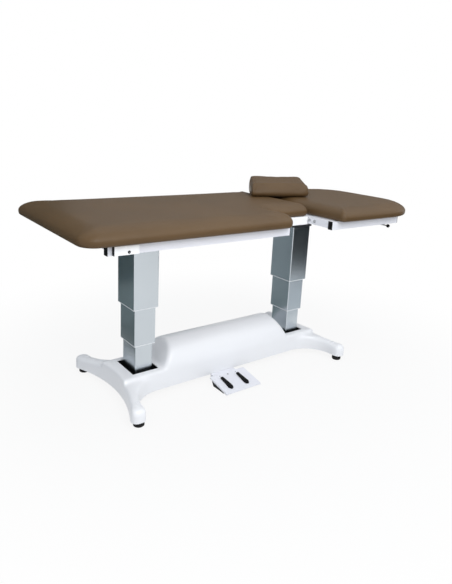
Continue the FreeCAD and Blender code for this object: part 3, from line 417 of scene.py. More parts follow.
FINISHES: dict[Slot, Finish] = {
    Slot.PAINT: PaintedSteel("white_epoxy_paint"),
    Slot.MOULDING: Moulding("white_base_moulding", (0.83, 0.838, 0.862), (0.822, 0.83, 0.855), 0.33, 260.0,
                            0.000004),
    Slot.ALUMINIUM: Metal("anodised_column_metal", (0.63, 0.68, 0.72), (0.60, 0.65, 0.69), 0.23,
                          (1500.0, 1500.0, 6.0), 0.000001),
    Slot.GLIDE: Moulding("grey_glide_plastic", (0.76, 0.78, 0.80), (0.72, 0.74, 0.76), 0.40, 1400.0,
                         0.00003),
    Slot.BLACK: Moulding("black_moulded_plastic", (0.008, 0.008, 0.009), (0.005, 0.005, 0.006), 0.50,
                         1500.0, 0.00007, 0.12),
    Slot.RUBBER: Moulding("black_foot_rubber", (0.014, 0.014, 0.014), (0.009, 0.009, 0.009), 0.70, 700.0,
                          0.00012, 0.2),
    Slot.STEEL: Metal("bright_turned_steel", (0.66, 0.655, 0.64), (0.50, 0.50, 0.50), 0.29, TURNED),
    Slot.DARK_PAINT: PaintedSteel("dark_chassis_paint", (0.050, 0.052, 0.055), (0.036, 0.038, 0.041), 0.40),
    Slot.HOUSING: Moulding("grey_box_housing", (0.30, 0.305, 0.31), (0.25, 0.255, 0.26), 0.50, 1200.0,
                           0.00006),
    Slot.PLYWOOD: Plywood("birch_plywood"),
    Slot.LEATHERETTE: Leatherette("brown_leatherette_cover"),
    Slot.SHEATH: Moulding("black_cable_sheath", (0.026, 0.026, 0.027), (0.018, 0.018, 0.019), 0.50, 900.0,
                          0.00005),
}

# Finishes of single nodes, which differ a little from the rest of their slot
NODE_FINISHES: tuple[tuple[Finish, tuple[str, ...]], ...] = (
    (PaintedSteel("bright_frame_paint", (0.90, 0.905, 0.915), (0.885, 0.89, 0.90)),
     ("tongue_rail", "accessory_sockets")),
    (Metal("zinc_bolt_steel", (0.46, 0.47, 0.48), (0.34, 0.35, 0.36), 0.29, TURNED), ("head_bar_bolts",)),
)


class Workshop:
    """Dresses the frame's nodes and takes in each new piece."""

    def __init__(self, frame: dict) -> None:
        """Make every finish once and dress the frame's own nodes.

        Args:
            frame: The loaded frame.
        """
        self.materials = {slot: finish.material() for slot, finish in FINISHES.items()}
        for part in frame["record"]["subparts"]:
            node = frame["nodes"][part["node"]]
            for place in node.material_slots:
                place.material = self.materials[Slot(part["material_slot"])]
            LOG.info("dressed %s", node.name)
        for finish, names in NODE_FINISHES:
            material = finish.material()
            for name in names:
                frame["nodes"][name].material_slots[0].material = material

    def take(self, name: str, mesh: Mesh, slot: Slot, body: Body) -> bpy.types.Object:
        """Make a finished mesh a piece that rides on a body.

        Args:
            name: Name of the piece.
            mesh: Mesh in its place, in the frame's coordinates.
            slot: Finish of the piece.
            body: Body that carries it.

        Returns:
            The piece.
        """
        piece = in_scene(name, mesh)
        mesh.materials.clear()
        mesh.materials.append(self.materials[slot])
        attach(piece, body.value)
        LOG.info("made %s, %d faces, on %s", name, len(mesh.polygons), body.value)
        return piece


# Mesh helpers

def in_scene(name: str, data: bpy.types.ID) -> bpy.types.Object:
    """Put an object in the scene.

    Args:
        name: Name of the object.
        data: Its mesh, curve, lamp or camera.

    Returns:
        The object.
    """
    thing = bpy.data.objects.new(name, data)
    bpy.context.scene.collection.objects.link(thing)
    return thing


def shape_of(mesh: Mesh) -> Shape:
    """Copy a mesh as a shape that can be changed.

    Args:
        mesh: Mesh to copy.

    Returns:
        The shape.
    """
    shape = bmesh.new()
    shape.from_mesh(mesh)
    return shape


def rectangle(width: float, depth: float) -> Shape:
    """Flat rectangle about the origin, facing +Z.

    Args:
        width: Size along X.
        depth: Size along Y.

    Returns:
        The shape.
    """
    shape = bmesh.new()
    bmesh.ops.create_grid(shape, x_segments=1, y_segments=1, size=0.5,
                          matrix=Matrix.Diagonal((width, depth, 1.0, 1.0)))
    return shape


def shift(shape: Shape, extruded: dict[str, Sequence], way: Point) -> None:
    """Move what an extrusion has just given, by a way along each axis."""
    points = [part for part in extruded["geom"] if isinstance(part, bmesh.types.BMVert)]
    bmesh.ops.translate(shape, vec=way, verts=points)


def bevel(shape: Shape, geometry: Sequence, offset: float, segments: int, affect: str = "EDGES") -> None:
    """Round some edges of a shape, or corners if those are affected, with segments across the round."""
    bmesh.ops.bevel(shape, geom=list(geometry), offset=offset, offset_type="OFFSET", segments=segments,
                    profile=0.5, affect=affect, material=-1, clamp_overlap=False)


def rounded_face(outline: Sequence[tuple[Point, float]], segments: int) -> Shape:
    """Flat face with rounded corners.

    Args:
        outline: Its corners, each with a radius.
        segments: Edges across each round.

    Returns:
        The shape.
    """
    shape = bmesh.new()
    points = [shape.verts.new(place) for place, _ in outline]
    shape.faces.new(points)
    for point, (_, radius) in zip(points, outline):
        bevel(shape, [point], radius, segments, "VERTICES")
    return shape


def as_mesh(shape: Shape, name: str, smooth: bool = True) -> Mesh:
    """Turn a shape into a mesh and free it.

    Args:
        shape: Shape to turn.
        name: Name of the mesh.
        smooth: Whether its faces are shaded smooth.

    Returns:
        The mesh.
    """
    bmesh.ops.recalc_face_normals(shape, faces=shape.faces)
    for face in shape.faces:
        face.smooth = smooth
    mesh = bpy.data.meshes.new(name)
    shape.to_mesh(mesh)
    shape.free()
    return mesh


def evaluated(piece: bpy.types.Object) -> Mesh:
    """Copy of a piece's mesh with its modifiers applied."""
    graph = bpy.context.evaluated_depsgraph_get()
    return bpy.data.meshes.new_from_object(piece.evaluated_get(graph))


def modified(source: Mesh, kind: str, **settings: object) -> Mesh:
    """Copy of a mesh after one modifier.

    Args:
        source: Mesh to copy.
        kind: Type of the modifier.
        settings: Values of the modifier's properties.

    Returns:
        The new mesh.
    """
    piece = in_scene("raw", source)
    change = piece.modifiers.new("change", kind)
    for key, value in settings.items():
        setattr(change, key, value)
    mesh = evaluated(piece)
    bpy.data.objects.remove(piece)
    return mesh


def remeshed(mesh: Mesh, voxel: float) -> Mesh:
    """Even quad mesh over a closed shape, with faces of about a voxel's size."""
    return modified(mesh, "REMESH", mode="VOXEL", voxel_size=voxel, use_smooth_shade=True)


# Upholstery

@dataclass(frozen=True)
class Filling:
    """How a padded cover is stuffed."""

    voxel: float
    swell: float
    pressure: float = 4.0
    stiffness: float = 12.0
    frames: int = 20
    fill: float = 0.9
    ease_rounds: int = 2


@dataclass(frozen=True)
class Corner:
    """Corner of a pad's plan."""

    x: float
    y: float
    radius: float


@dataclass(frozen=True)
class Cushion(ABC):
    """Padded piece in place of a soft solid, stuffed by a cloth simulation."""

    name: str
    node: str
    body: Body
    filling: Filling

    @abstractmethod
    def form(self) -> Mesh:
        """Even mesh of the cover, before it is stuffed."""

    @abstractmethod
    def seat(self) -> float:
        """Height below which the cover is fixed to what carries it."""

    def stuffed(self, mesh: Mesh) -> Mesh:
        """Swell an even mesh by pressure, as a filling does.

        Args:
            mesh: Even mesh of the cover.

        Returns:
            The swollen mesh.
        """
        filling, seat, scene = self.filling, self.seat(), bpy.context.scene
        piece = in_scene("cover", mesh)
        held = piece.vertex_groups.new(name="held")
        held.add([v.index for v in mesh.vertices if v.co.z < seat], 1.0, "REPLACE")
        cloth = piece.modifiers.new("cloth", "CLOTH")
        cloth.settings.vertex_group_mass = held.name
        cloth.settings.use_pressure = True
        cloth.settings.uniform_pressure_force = filling.pressure
        cloth.settings.tension_stiffness = filling.stiffness
        cloth.settings.compression_stiffness = filling.stiffness
        cloth.settings.effector_weights.gravity = 0.0
        cloth.point_cache.frame_start = 1
        cloth.point_cache.frame_end = filling.frames
        for frame in range(1, filling.frames + 1):
            scene.frame_set(frame)
        swollen = evaluated(piece)
        for start, point in zip(mesh.vertices, swollen.vertices):
            move = point.co - start.co
            if move.length > filling.swell:
                point.co = start.co + move * (filling.swell / move.length)
        scene.frame_set(1)
        bpy.data.objects.remove(piece)
        return swollen

    def eased(self, mesh: Mesh) -> None:
        """Smooth a mesh's points towards their neighbours.

        Args:
            mesh: Mesh to change.
        """
        shape = shape_of(mesh)
        for _ in range(self.filling.ease_rounds):
            bmesh.ops.smooth_vert(shape, verts=shape.verts, factor=HALF_WAY, use_axis_x=True,
                                  use_axis_y=True, use_axis_z=True)
        for face in shape.faces:
            face.smooth = True
        shape.to_mesh(mesh)
        shape.free()

    def build(self, shop: Workshop) -> bpy.types.Object:
        """Stuff the cover and put it in place of its solid.

        Args:
            shop: Takes in the piece.

        Returns:
            The piece.
        """
        mesh = self.form()
        mesh = self.stuffed(mesh)
        self.eased(mesh)
        piece = shop.take(self.name, mesh, Slot.LEATHERETTE, self.body)
        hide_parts(self.node)
        return piece


def quarter_round(inside: float, reach: float) -> float:
    """Height of a quarter ellipse as a share, at a distance inside its edge."""
    return math.sqrt(max(1.0 - max(1.0 - inside / reach, 0.0) ** 2, LEAST_SQUARE))


@dataclass(frozen=True)
class Pad(Cushion):
    """Upholstered pad on a board: a flat top that falls off in a wide soft round, tucked in below."""

    corners: tuple[Corner, ...]
    bottom: float = 0.768
    height: float = 0.0610
    top_drop: float = 0.040
    top_reach: float = 0.088
    joint_way: float = 1.0
    joint_reach: float = 0.046
    bottom_round: float = 0.019
    corner_segments: int = 12
    round_segments: int = 8

    def plan(self) -> Shape:
        """Flat plan of the pad."""
        outline = [((c.x, c.y, self.bottom), c.radius) for c in self.corners]
        return rounded_face(outline, self.corner_segments)

    def wall(self) -> BVHTree:
        """Raise a wall on the plan's outline, to measure how far a point lies inside it.

        Returns:
            The upright wall, to be searched.
        """
        shape = self.plan()
        raised = bmesh.ops.extrude_edge_only(shape, edges=shape.edges)
        level = [f for f in shape.faces if abs(f.normal.z) > SLANT]
        bmesh.ops.delete(shape, geom=level, context="FACES_ONLY")
        shift(shape, raised, (0.0, 0.0, 2 * self.height))
        tree = BVHTree.FromBMesh(shape)
        shape.free()
        return tree

    def pattern(self) -> Mesh:
        """Cut out the pad, before it is stuffed.

        Returns:
            Its closed starting shape.
        """
        shape = self.plan()
        shift(shape, bmesh.ops.extrude_face_region(shape, geom=shape.faces[:]), (0.0, 0.0, self.height))
        bmesh.ops.recalc_face_normals(shape, faces=shape.faces)
        middle = self.bottom + self.height / 2
        upper = [e for e in shape.edges if all(v.co.z > middle for v in e.verts)]
        bevel(shape, upper, self.top_drop, self.round_segments)
        lower = [e for e in shape.edges if all(abs(v.co.z - self.bottom) < TINY for v in e.verts)]
        bevel(shape, lower, self.bottom_round, self.round_segments // 2)
        return as_mesh(shape, self.name)

    def seat(self) -> float:
        """Half way up the round at its foot."""
        return self.bottom + self.bottom_round / 2

    def form(self) -> Mesh:
        """Draw the cover down towards its edge in a wide quarter ellipse, a narrower one at the joint.

        Returns:
            Even mesh of the pad, before it is stuffed.
        """
        mesh = remeshed(self.pattern(), self.filling.voxel)
        wall = self.wall()
        waist = self.bottom + self.height - self.top_drop
        for point in mesh.vertices:
            rise = point.co.z - waist
            if rise <= 0.0:
                continue
            edge, _, _, inside = wall.find_nearest(point.co)
            joint = max((edge.x - point.co.x) / max(inside, TINY) * self.joint_way, 0.0)
            reach = self.top_reach + (self.joint_reach - self.top_reach) * joint
            drop = quarter_round(inside, reach) / quarter_round(inside, self.top_drop)
            point.co.z = waist + rise * min(drop, 1.0)
        return mesh


@dataclass(frozen=True)
class Pillow(Cushion):
    """Loose wedge pillow, low in front, with sewn end panels."""

    corner: Point = (0.1365, 0.108, 0.8319)
    depth_way: float = math.radians(53.0)
    length_way: float = math.radians(-20.0)
    length: float = 0.330
    depth: float = 0.200
    height: float = 0.100
    front_height: float = 0.060
    taper: float = 0.006
    near_lean: float = 0.010
    far_lean: float = 0.040
    low_round: float = 0.024
    front_round: float = 0.034
    ridge_round: float = 0.040
    near_round: float = 0.007
    far_round: float = 0.026
    seam_radius: float = 0.0013
    seam_inset: float = 0.004
    seam_cuts: int = 12
    corner_segments: int = 8
    rim_segments: int = 5

    def placed(self) -> Matrix:
        """Skewed axes of the pillow, depth, length and height, at its front corner."""
        axes = ((math.cos(self.depth_way), math.sin(self.depth_way), 0.0),
                (math.cos(self.length_way), math.sin(self.length_way), 0.0), (0.0, 0.0, 1.0))
        return Matrix.Translation(self.corner) @ Matrix(axes).transposed().to_4x4()

    def profile(self) -> Shape:
        """Draw the side view of the pillow in its own axes.

        Returns:
            A flat face with rounded corners.
        """
        outline = (((0.0, 0.0, 0.0), self.low_round), ((self.depth, 0.0, 0.0), self.low_round),
                   ((self.depth - self.taper, 0.0, self.height), self.ridge_round),
                   ((self.taper, 0.0, self.front_height), self.front_round))
        return rounded_face(outline, self.corner_segments)

    def laid(self, shape: Shape) -> None:
        """Lean the ends of a shape, and lay it on the pad.

        Args:
            shape: Shape in the pillow's own axes.
        """
        for point in shape.verts:
            lean = self.near_lean + (self.far_lean - self.near_lean) * point.co.y / self.length
            point.co.y -= lean * point.co.x / self.depth
        shape.transform(self.placed())

    def pattern(self) -> Mesh:
        """Cut out the pillow, before it is stuffed.

        Returns:
            Its closed starting shape.
        """
        shape = self.profile()
        shift(shape, bmesh.ops.extrude_face_region(shape, geom=shape.faces[:]), (0.0, self.length, 0.0))
        bmesh.ops.recalc_face_normals(shape, faces=shape.faces)
        for end, radius in ((0.0, self.near_round), (self.length, self.far_round)):
            rim = [e for e in shape.edges if all(abs(v.co.y - end) < TINY for v in e.verts)]
            bevel(shape, rim, radius, self.rim_segments)
        self.laid(shape)
        return as_mesh(shape, "pillow_pattern")

    def seat(self) -> float:
        """Half way up the round at its foot."""
        return self.corner[2] + self.low_round / 2

    def form(self) -> Mesh:
        """Even mesh of the pillow, before it is stuffed."""
        return remeshed(self.pattern(), self.filling.voxel)

    def build(self, shop: Workshop) -> bpy.types.Object:
        """Make the pillow and sew on its seams.

        Args:
            shop: Takes in the pieces.

        Returns:
            The pillow's cover.
        """
        piece = super().build(shop)
        shop.take("pillow_end_seams", self.seams(piece.data), Slot.LEATHERETTE, self.body)
        return piece

    def seams(self, cover: Mesh) -> Mesh:
        """Thin sewn edges round both end panels.

        Args:
            cover: Finished cover, on which the seams lie.

        Returns:
            Both seams.
        """
        solid = shape_of(cover)
        tree = BVHTree.FromBMesh(solid)
        solid.free()
        curve = bpy.data.curves.new("pillow_end_seams", "CURVE")
        curve.dimensions = "3D"
        curve.bevel_depth = self.seam_radius
        curve.bevel_resolution = SMALL_ROUND
        for along in (self.seam_inset, self.length - self.seam_inset):
            ring = self.profile()
            straight = [e for e in ring.edges if e.calc_length() > self.low_round]
            bmesh.ops.subdivide_edges(ring, edges=straight, cuts=self.seam_cuts)
            bmesh.ops.translate(ring, vec=(0.0, along, 0.0), verts=ring.verts)
            self.laid(ring)
            ring.faces.ensure_lookup_table()
            loop = [tree.find_nearest(corner.vert.co)[0] for corner in ring.faces[0].loops]
            ring.free()
            line = curve.splines.new("POLY")
            line.points.add(len(loop) - 1)
            for point, place in zip(line.points, loop):
                point.co = (*place, 1.0)
            line.use_cyclic_u = True
        piece = in_scene("seam_line", curve)
        mesh = evaluated(piece)
        bpy.data.objects.remove(piece)
        return mesh


MAIN_PAD = Pad("main_pad_cover", "main_pad", Body.TABLE_TOP, Filling(voxel=0.007, swell=0.0025), (
    Corner(-0.966, -0.3765, 0.070), Corner(0.0035, -0.3765, 0.046), Corner(0.0035, -0.1705, 0.048),
    Corner(0.2835, -0.1705, 0.024), Corner(0.2835, 0.3765, 0.024), Corner(-0.966, 0.3765, 0.062)))
HEAD_PAD = Pad("head_pad_cover", "head_pad", Body.HEAD, Filling(voxel=0.006, swell=0.0025), (
    Corner(0.3055, -0.3765, 0.030), Corner(0.966, -0.3765, 0.256), Corner(0.966, 0.3765, 0.256),
    Corner(0.3055, 0.3765, 0.030)), joint_way=-1.0)
PILLOW = Pillow("pillow_cover", "pillow", Body.PILLOW,
                Filling(voxel=0.005, swell=0.004, fill=0.85, ease_rounds=1))


# Base cover and foot control

@dataclass(frozen=True)
class Mouth:
    """Square opening through one wall of the base cover."""

    low: Point
    high: Point
    through: int

    def holds(self, place: Vector, slack: float) -> bool:
        """Whether a point lies in the opening's box, give or take a slack."""
        return all(a - slack < p < b + slack for a, p, b in zip(self.low, place, self.high))

    def cut(self, shape: Shape, slack: float) -> None:
        """Cut the opening into a shell.

        Args:
            shape: Shell to cut.
            slack: How far round the opening its faces may be split.
        """
        near = [f for f in shape.faces if self.holds(f.calc_center_median(), slack)]
        for axis in {0, 1, 2} - {self.through}:
            normal = Vector((0.0, 0.0, 0.0))
            normal[axis] = 1.0
            for corner in (self.low, self.high):
                edges = {e for f in near for e in f.edges}
                points = {v for f in near for v in f.verts}
                parts = bmesh.ops.bisect_plane(shape, geom=[*near, *edges, *points], dist=TINY,
                                               plane_co=corner, plane_no=normal)["geom"]
                near = [g for g in parts if isinstance(g, bmesh.types.BMFace)]
        inside = [f for f in near if self.holds(f.calc_center_median(), 0.0)]
        bmesh.ops.delete(shape, geom=inside, context="FACES")


@dataclass(frozen=True)
class BaseCover:
    """Moulded cover of the base: the frame's shape with its inner corners filled to soft sweeps."""

    node: str = "base_cover"
    voxel: float = 0.0055
    wall: float = 0.004
    rim: float = 0.025
    skirt: float = 0.040
    even_rounds: int = 2
    sweep_rounds: int = 22
    tip_rounds: int = 10
    tip_y: float = 0.225
    slack: float = 0.016
    sharp_angle: float = math.radians(50.0)
    plug_radius: float = 0.006
    plug_slack: float = 0.0002
    plug_slant: float = 0.2
    mouths: tuple[Mouth, ...] = (
        Mouth((-0.6295, -0.081, 0.100), (-0.5035, 0.081, 0.125), 2),
        Mouth((0.2705, -0.081, 0.100), (0.3965, 0.081, 0.125), 2),
        Mouth((0.0195, 0.100, 0.056), (0.0475, 0.120, 0.076), 1),
    )

    def outside(self, solid: Mesh) -> Shape:
        """Take off the outer skin of the hollow solid.

        Args:
            solid: Mesh of the solid.

        Returns:
            The skin, closed over its openings and drawn down below its rim.
        """
        shape = shape_of(solid)
        bmesh.ops.remove_doubles(shape, verts=shape.verts, dist=WELD)
        crown = max(shape.verts, key=lambda v: v.co.z)
        low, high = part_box("cover_plugs")
        lips = [f for f in shape.faces if self.is_lip(f, low, high)]
        bmesh.ops.delete(shape, geom=lips, context="FACES_ONLY")
        found, edge = {crown}, [crown]
        while edge:
            edge = [w for v in edge for w in (e.other_vert(v) for e in v.link_edges if e.link_faces)
                    if w not in found and not found.add(w)]
        bmesh.ops.delete(shape, geom=[v for v in shape.verts if v not in found], context="VERTS")
        foot = [e for e in shape.edges if e.is_boundary and max(v.co.z for v in e.verts) < self.rim + NEAR]
        shift(shape, bmesh.ops.extrude_edge_only(shape, edges=foot), (0.0, 0.0, -self.skirt))
        bmesh.ops.holes_fill(shape, edges=[e for e in shape.edges if e.is_boundary], sides=0)
        return shape

    def is_lip(self, face: bmesh.types.BMFace, low: Point, high: Point) -> bool:
        """Whether a face of the hollow solid joins its outer wall to its inner one.

        Args:
            face: Face of the solid.
            low: Lowest corner of the box round the four screw plugs.
            high: Highest corner of that box.

        Returns:
            True on the rim and in the openings and plug holes.
        """
        place, normal = face.calc_center_median(), face.normal
        if all(v.co.z < self.rim + NEAR for v in face.verts):
            return True
        if any(m.holds(place, NEAR) and abs(normal[m.through]) < SLANT for m in self.mouths):
            return True
        plugs = [Vector((x, y)) for x in (low[0] + self.plug_radius, high[0] - self.plug_radius)
                 for y in (low[1] + self.plug_radius, high[1] - self.plug_radius)]
        aside = min((place.xy - plug).length for plug in plugs)
        return (low[2] < place.z < high[2] and abs(normal.z) < self.plug_slant
                and aside < self.plug_radius + self.plug_slack)

    def swept(self, mesh: Mesh) -> None:
        """Even out the skin, round the leg tips, and fill the hollow corners.

        Args:
            mesh: Even mesh of the skin.
        """
        count = len(mesh.vertices)
        links = np.empty(2 * len(mesh.edges), dtype=np.int32)
        mesh.edges.foreach_get("vertices", links)
        here, there = links, links.reshape(-1, 2)[:, ::-1].ravel()
        neighbours = np.bincount(here, minlength=count)[:, None]
        flat = np.empty(3 * count, dtype=np.float32)
        for number in range(self.even_rounds + self.sweep_rounds):
            mesh.vertices.foreach_get("normal", flat)
            normals = flat.reshape(-1, 3).copy()
            mesh.vertices.foreach_get("co", flat)
            places = flat.reshape(-1, 3).copy()
            around = np.stack([np.bincount(here, places[there, axis], count) for axis in range(3)], axis=1)
            pull = around / neighbours - places
            if number >= self.even_rounds:
                hollow = (pull * normals).sum(axis=1) > 0.0
                tip = np.abs(places[:, 1]) > self.tip_y
                pull *= (hollow | (tip & (number < self.tip_rounds)))[:, None]
            mesh.vertices.foreach_set("co", (places + HALF_WAY * pull).astype(np.float32).ravel())
            mesh.update()

    def build(self, shop: Workshop, frame: dict) -> None:
        """Mould the cover and put it in place of its solid.

        Args:
            shop: Takes in the piece.
            frame: The loaded frame.
        """
        closed = as_mesh(self.outside(frame["nodes"][self.node].data), "cover_form")
        skin = remeshed(closed, self.voxel)
        self.swept(skin)
        shape = shape_of(skin)
        bmesh.ops.bisect_plane(shape, geom=[*shape.verts, *shape.edges, *shape.faces], dist=TINY,
                               plane_co=(0.0, 0.0, self.rim), plane_no=(0.0, 0.0, 1.0), clear_inner=True)
        for mouth in self.mouths:
            mouth.cut(shape, self.slack)
        mesh = modified(as_mesh(shape, "cover_skin"), "SOLIDIFY", thickness=self.wall, offset=-1.0,
                        use_rim=True)
        mesh.set_sharp_from_angle(angle=self.sharp_angle)
        piece = shop.take("base_cover_moulding", mesh, Slot.MOULDING, Body.BASE)
        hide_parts(self.node)


@dataclass(frozen=True)
class FootControl:
    """Ribs on the pedals and small marks on the sloping plate."""

    back_edge: Point = (-0.1695, -0.152, 0.037)
    slope: float = math.radians(10.4)
    pedals: tuple[tuple[str, Body, float], ...] = (("left", Body.LEFT_PEDAL, -0.052),
                                                   ("right", Body.RIGHT_PEDAL, 0.040))
    rib_size: Point = (0.0090, 0.0016, 0.0009)
    rib_first: float = -0.052
    rib_pitch: float = 0.0058
    rib_count: int = 10
    rib_growth: float = 0.080
    pedal_rise: float = 0.007
    mark_y: float = -0.0155
    mark_size: float = 0.0042
    mark_height: float = 0.0003
    dot_x: float = -0.006
    dot_sides: int = 16

    def on_plate(self) -> Matrix:
        """Axes of the plate: along its back edge, up its slope, and out of it."""
        return Matrix.Translation(self.back_edge) @ Matrix.Rotation(self.slope, 4, "X")

    def ribs(self, across: float) -> Mesh:
        """Low rounded ribs across a pedal's tread.

        Args:
            across: Middle line of the pedal, from the middle of the plate.

        Returns:
            The ribs of one pedal.
        """
        shape = bmesh.new()
        for number in range(self.rib_count):
            rib = bmesh.ops.create_cube(shape, size=1.0)["verts"]
            widen = 1.0 + self.rib_growth * number
            bmesh.ops.scale(shape, vec=(self.rib_size[0] * widen, *self.rib_size[1:]), verts=rib)
            bmesh.ops.translate(shape, verts=rib, vec=(across, self.rib_first - number * self.rib_pitch,
                                                       self.pedal_rise + self.rib_size[2] / 4))
        bevel(shape, [e for e in shape.edges if all(v.co.z > self.pedal_rise for v in e.verts)],
              self.rib_size[2] / 3, SMALL_ROUND)
        shape.transform(self.on_plate())
        return as_mesh(shape, "pedal_ribs", smooth=False)

    def marks(self) -> Mesh:
        """Print two arrows, up and down, and a dot between them along the plate's back edge.

        Returns:
            The marks.
        """
        shape = bmesh.new()
        (_, _, left), (_, _, right) = self.pedals
        up = math.pi / 2
        for across, sides, turn in ((left, 3, up), (right, 3, -up), (self.dot_x, self.dot_sides, 0.0)):
            disc = bmesh.ops.create_cone(shape, cap_ends=True, segments=sides, radius1=self.mark_size,
                                         radius2=self.mark_size, depth=self.mark_height)["verts"]
            bmesh.ops.rotate(shape, verts=disc, cent=(0.0, 0.0, 0.0), matrix=Matrix.Rotation(turn, 3, "Z"))
            bmesh.ops.translate(shape, verts=disc, vec=(across, self.mark_y, self.mark_height / 2))
        shape.transform(self.on_plate())
        return as_mesh(shape, "plate_marks", smooth=False)

    def build(self, shop: Workshop) -> None:
        """Put the ribs on the pedals and the marks on the plate.

        Args:
            shop: Takes in the pieces.
        """
        for name, body, across in self.pedals:
            shop.take(f"{name}_pedal_ribs", self.ribs(across), Slot.BLACK, body)
        shop.take("plate_marks", self.marks(), Slot.HOUSING, Body.BASE)


@dataclass(frozen=True)
class SocketSleeve:
    """Black collared sleeve in the open end of each accessory socket, and the ring round its screw hole."""

    node: str = "accessory_sockets"
    collar: float = 0.0016
    rim: float = 0.0024
    depth: float = 0.070
    wall: float = 0.0007
    width: float = 0.016
    screw_shift: float = 0.008
    screw_drop: float = 0.007
    bush_bore: float = 0.0035
    bush_radius: float = 0.0056
    bush_height: float = 0.0014
    bush_steps: int = 32

    def sleeve(self, height: float) -> Mesh:
        """Collared sleeve at the origin, open towards -X.

        Args:
            height: Height of the socket.

        Returns:
            The sleeve.
        """
        shape = rectangle(height, self.width)
        bmesh.ops.rotate(shape, verts=shape.verts, cent=(0.0, 0.0, 0.0),
                         matrix=Matrix.Rotation(-math.pi / 2, 3, "Y"))
        inner = shape.faces[:]
        bmesh.ops.inset_region(shape, faces=inner, thickness=self.rim, use_boundary=True,
                               use_even_offset=True)
        shift(shape, bmesh.ops.extrude_face_region(shape, geom=inner), (self.depth, 0.0, 0.0))
        return modified(as_mesh(shape, "sleeve_sheet", smooth=False), "SOLIDIFY", thickness=self.wall,
                        offset=0.0, use_even_offset=True)

    def bush(self) -> Shape:
        """Turn the ring that goes round the clamp screw's hole.

        Returns:
            The ring at the origin, standing on Z 0.
        """
        shape = bmesh.new()
        section = ((self.bush_bore, 0.0), (self.bush_bore, self.bush_height),
                   (self.bush_radius, self.bush_height), (self.bush_radius, 0.0))
        points = [shape.verts.new((radius, 0.0, rise)) for radius, rise in section]
        edges = [shape.edges.new(pair) for pair in zip(points, (*points[1:], points[0]))]
        bmesh.ops.spin(shape, geom=[*points, *edges], axis=(0.0, 0.0, 1.0), cent=(0.0, 0.0, 0.0),
                       angle=2 * math.pi, steps=self.bush_steps, use_merge=True)
        bmesh.ops.remove_doubles(shape, verts=shape.verts, dist=TINY)
        upper = [e for e in shape.edges if all(v.co.z > self.bush_height - TINY for v in e.verts)]
        rims = [e for e in upper if abs(e.verts[0].co.xy.length - e.verts[1].co.xy.length) < WELD]
        bevel(shape, rims, self.bush_height / 4, SMALL_ROUND)
        return shape

    def build(self, shop: Workshop) -> None:
        """Push a sleeve into the socket on each side, and set a ring round its clamp screw's hole.

        Args:
            shop: Takes in the pieces.
        """
        low, high = (Vector(corner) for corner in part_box(self.node))
        middle = (low + high) / 2
        for name, side in (("near", -1.0), ("far", 1.0)):
            face = low.y if side < 0.0 else high.y
            mesh = self.sleeve(high.z - low.z)
            mouth = (low.x - self.collar, face - side * self.width / 2, middle.z)
            mesh.transform(Matrix.Translation(mouth))
            shop.take(f"{name}_socket_sleeve", mesh, Slot.BLACK, Body.TABLE_TOP)
            ring = self.bush()
            hole = (middle.x + self.screw_shift, face, middle.z - self.screw_drop)
            ring.transform(Matrix.Translation(hole) @ Matrix.Rotation(-side * math.pi / 2, 4, "X"))
            shop.take(f"{name}_clamp_bush", as_mesh(ring, f"{name}_clamp_bush", smooth=False), Slot.BLACK,
                      Body.TABLE_TOP)


# Studio

@dataclass(frozen=True)
class Lamp:
    """Soft square lamp, aimed at a point."""

    name: str
    place: Point
    aim: Point
    size: float
    power: float

    def build(self) -> None:
        """Hang the lamp."""
        light = bpy.data.lights.new(self.name, "AREA")
        light.size = self.size
        light.energy = self.power
        lamp = in_scene(self.name, light)
        lamp.location = self.place
        lamp.rotation_euler = (Vector(self.aim) - Vector(self.place)).to_track_quat("-Z", "Y").to_euler()


@dataclass(frozen=True)
class Flag:
    """Plain panel beside the object, out of the camera's sight, for bright metal to show."""

    name: str
    place: Point
    facing: Point
    size: Span
    tone: Colour

    def build(self) -> None:
        """Stand the panel on its place."""
        shape = rectangle(*self.size)
        turn = Vector(self.facing).to_track_quat("Z", "Y").to_matrix().to_4x4()
        bmesh.ops.transform(shape, matrix=Matrix.Translation(self.place) @ turn, verts=shape.verts)
        panel = in_scene(self.name, as_mesh(shape, self.name))
        sheet = NodeSheet(self.name)
        sheet.surface(Base_Color=opaque(self.tone), Roughness=MATT)
        panel.data.materials.append(sheet.material)
        panel.visible_camera = False
        panel.visible_shadow = False
        panel.visible_diffuse = False


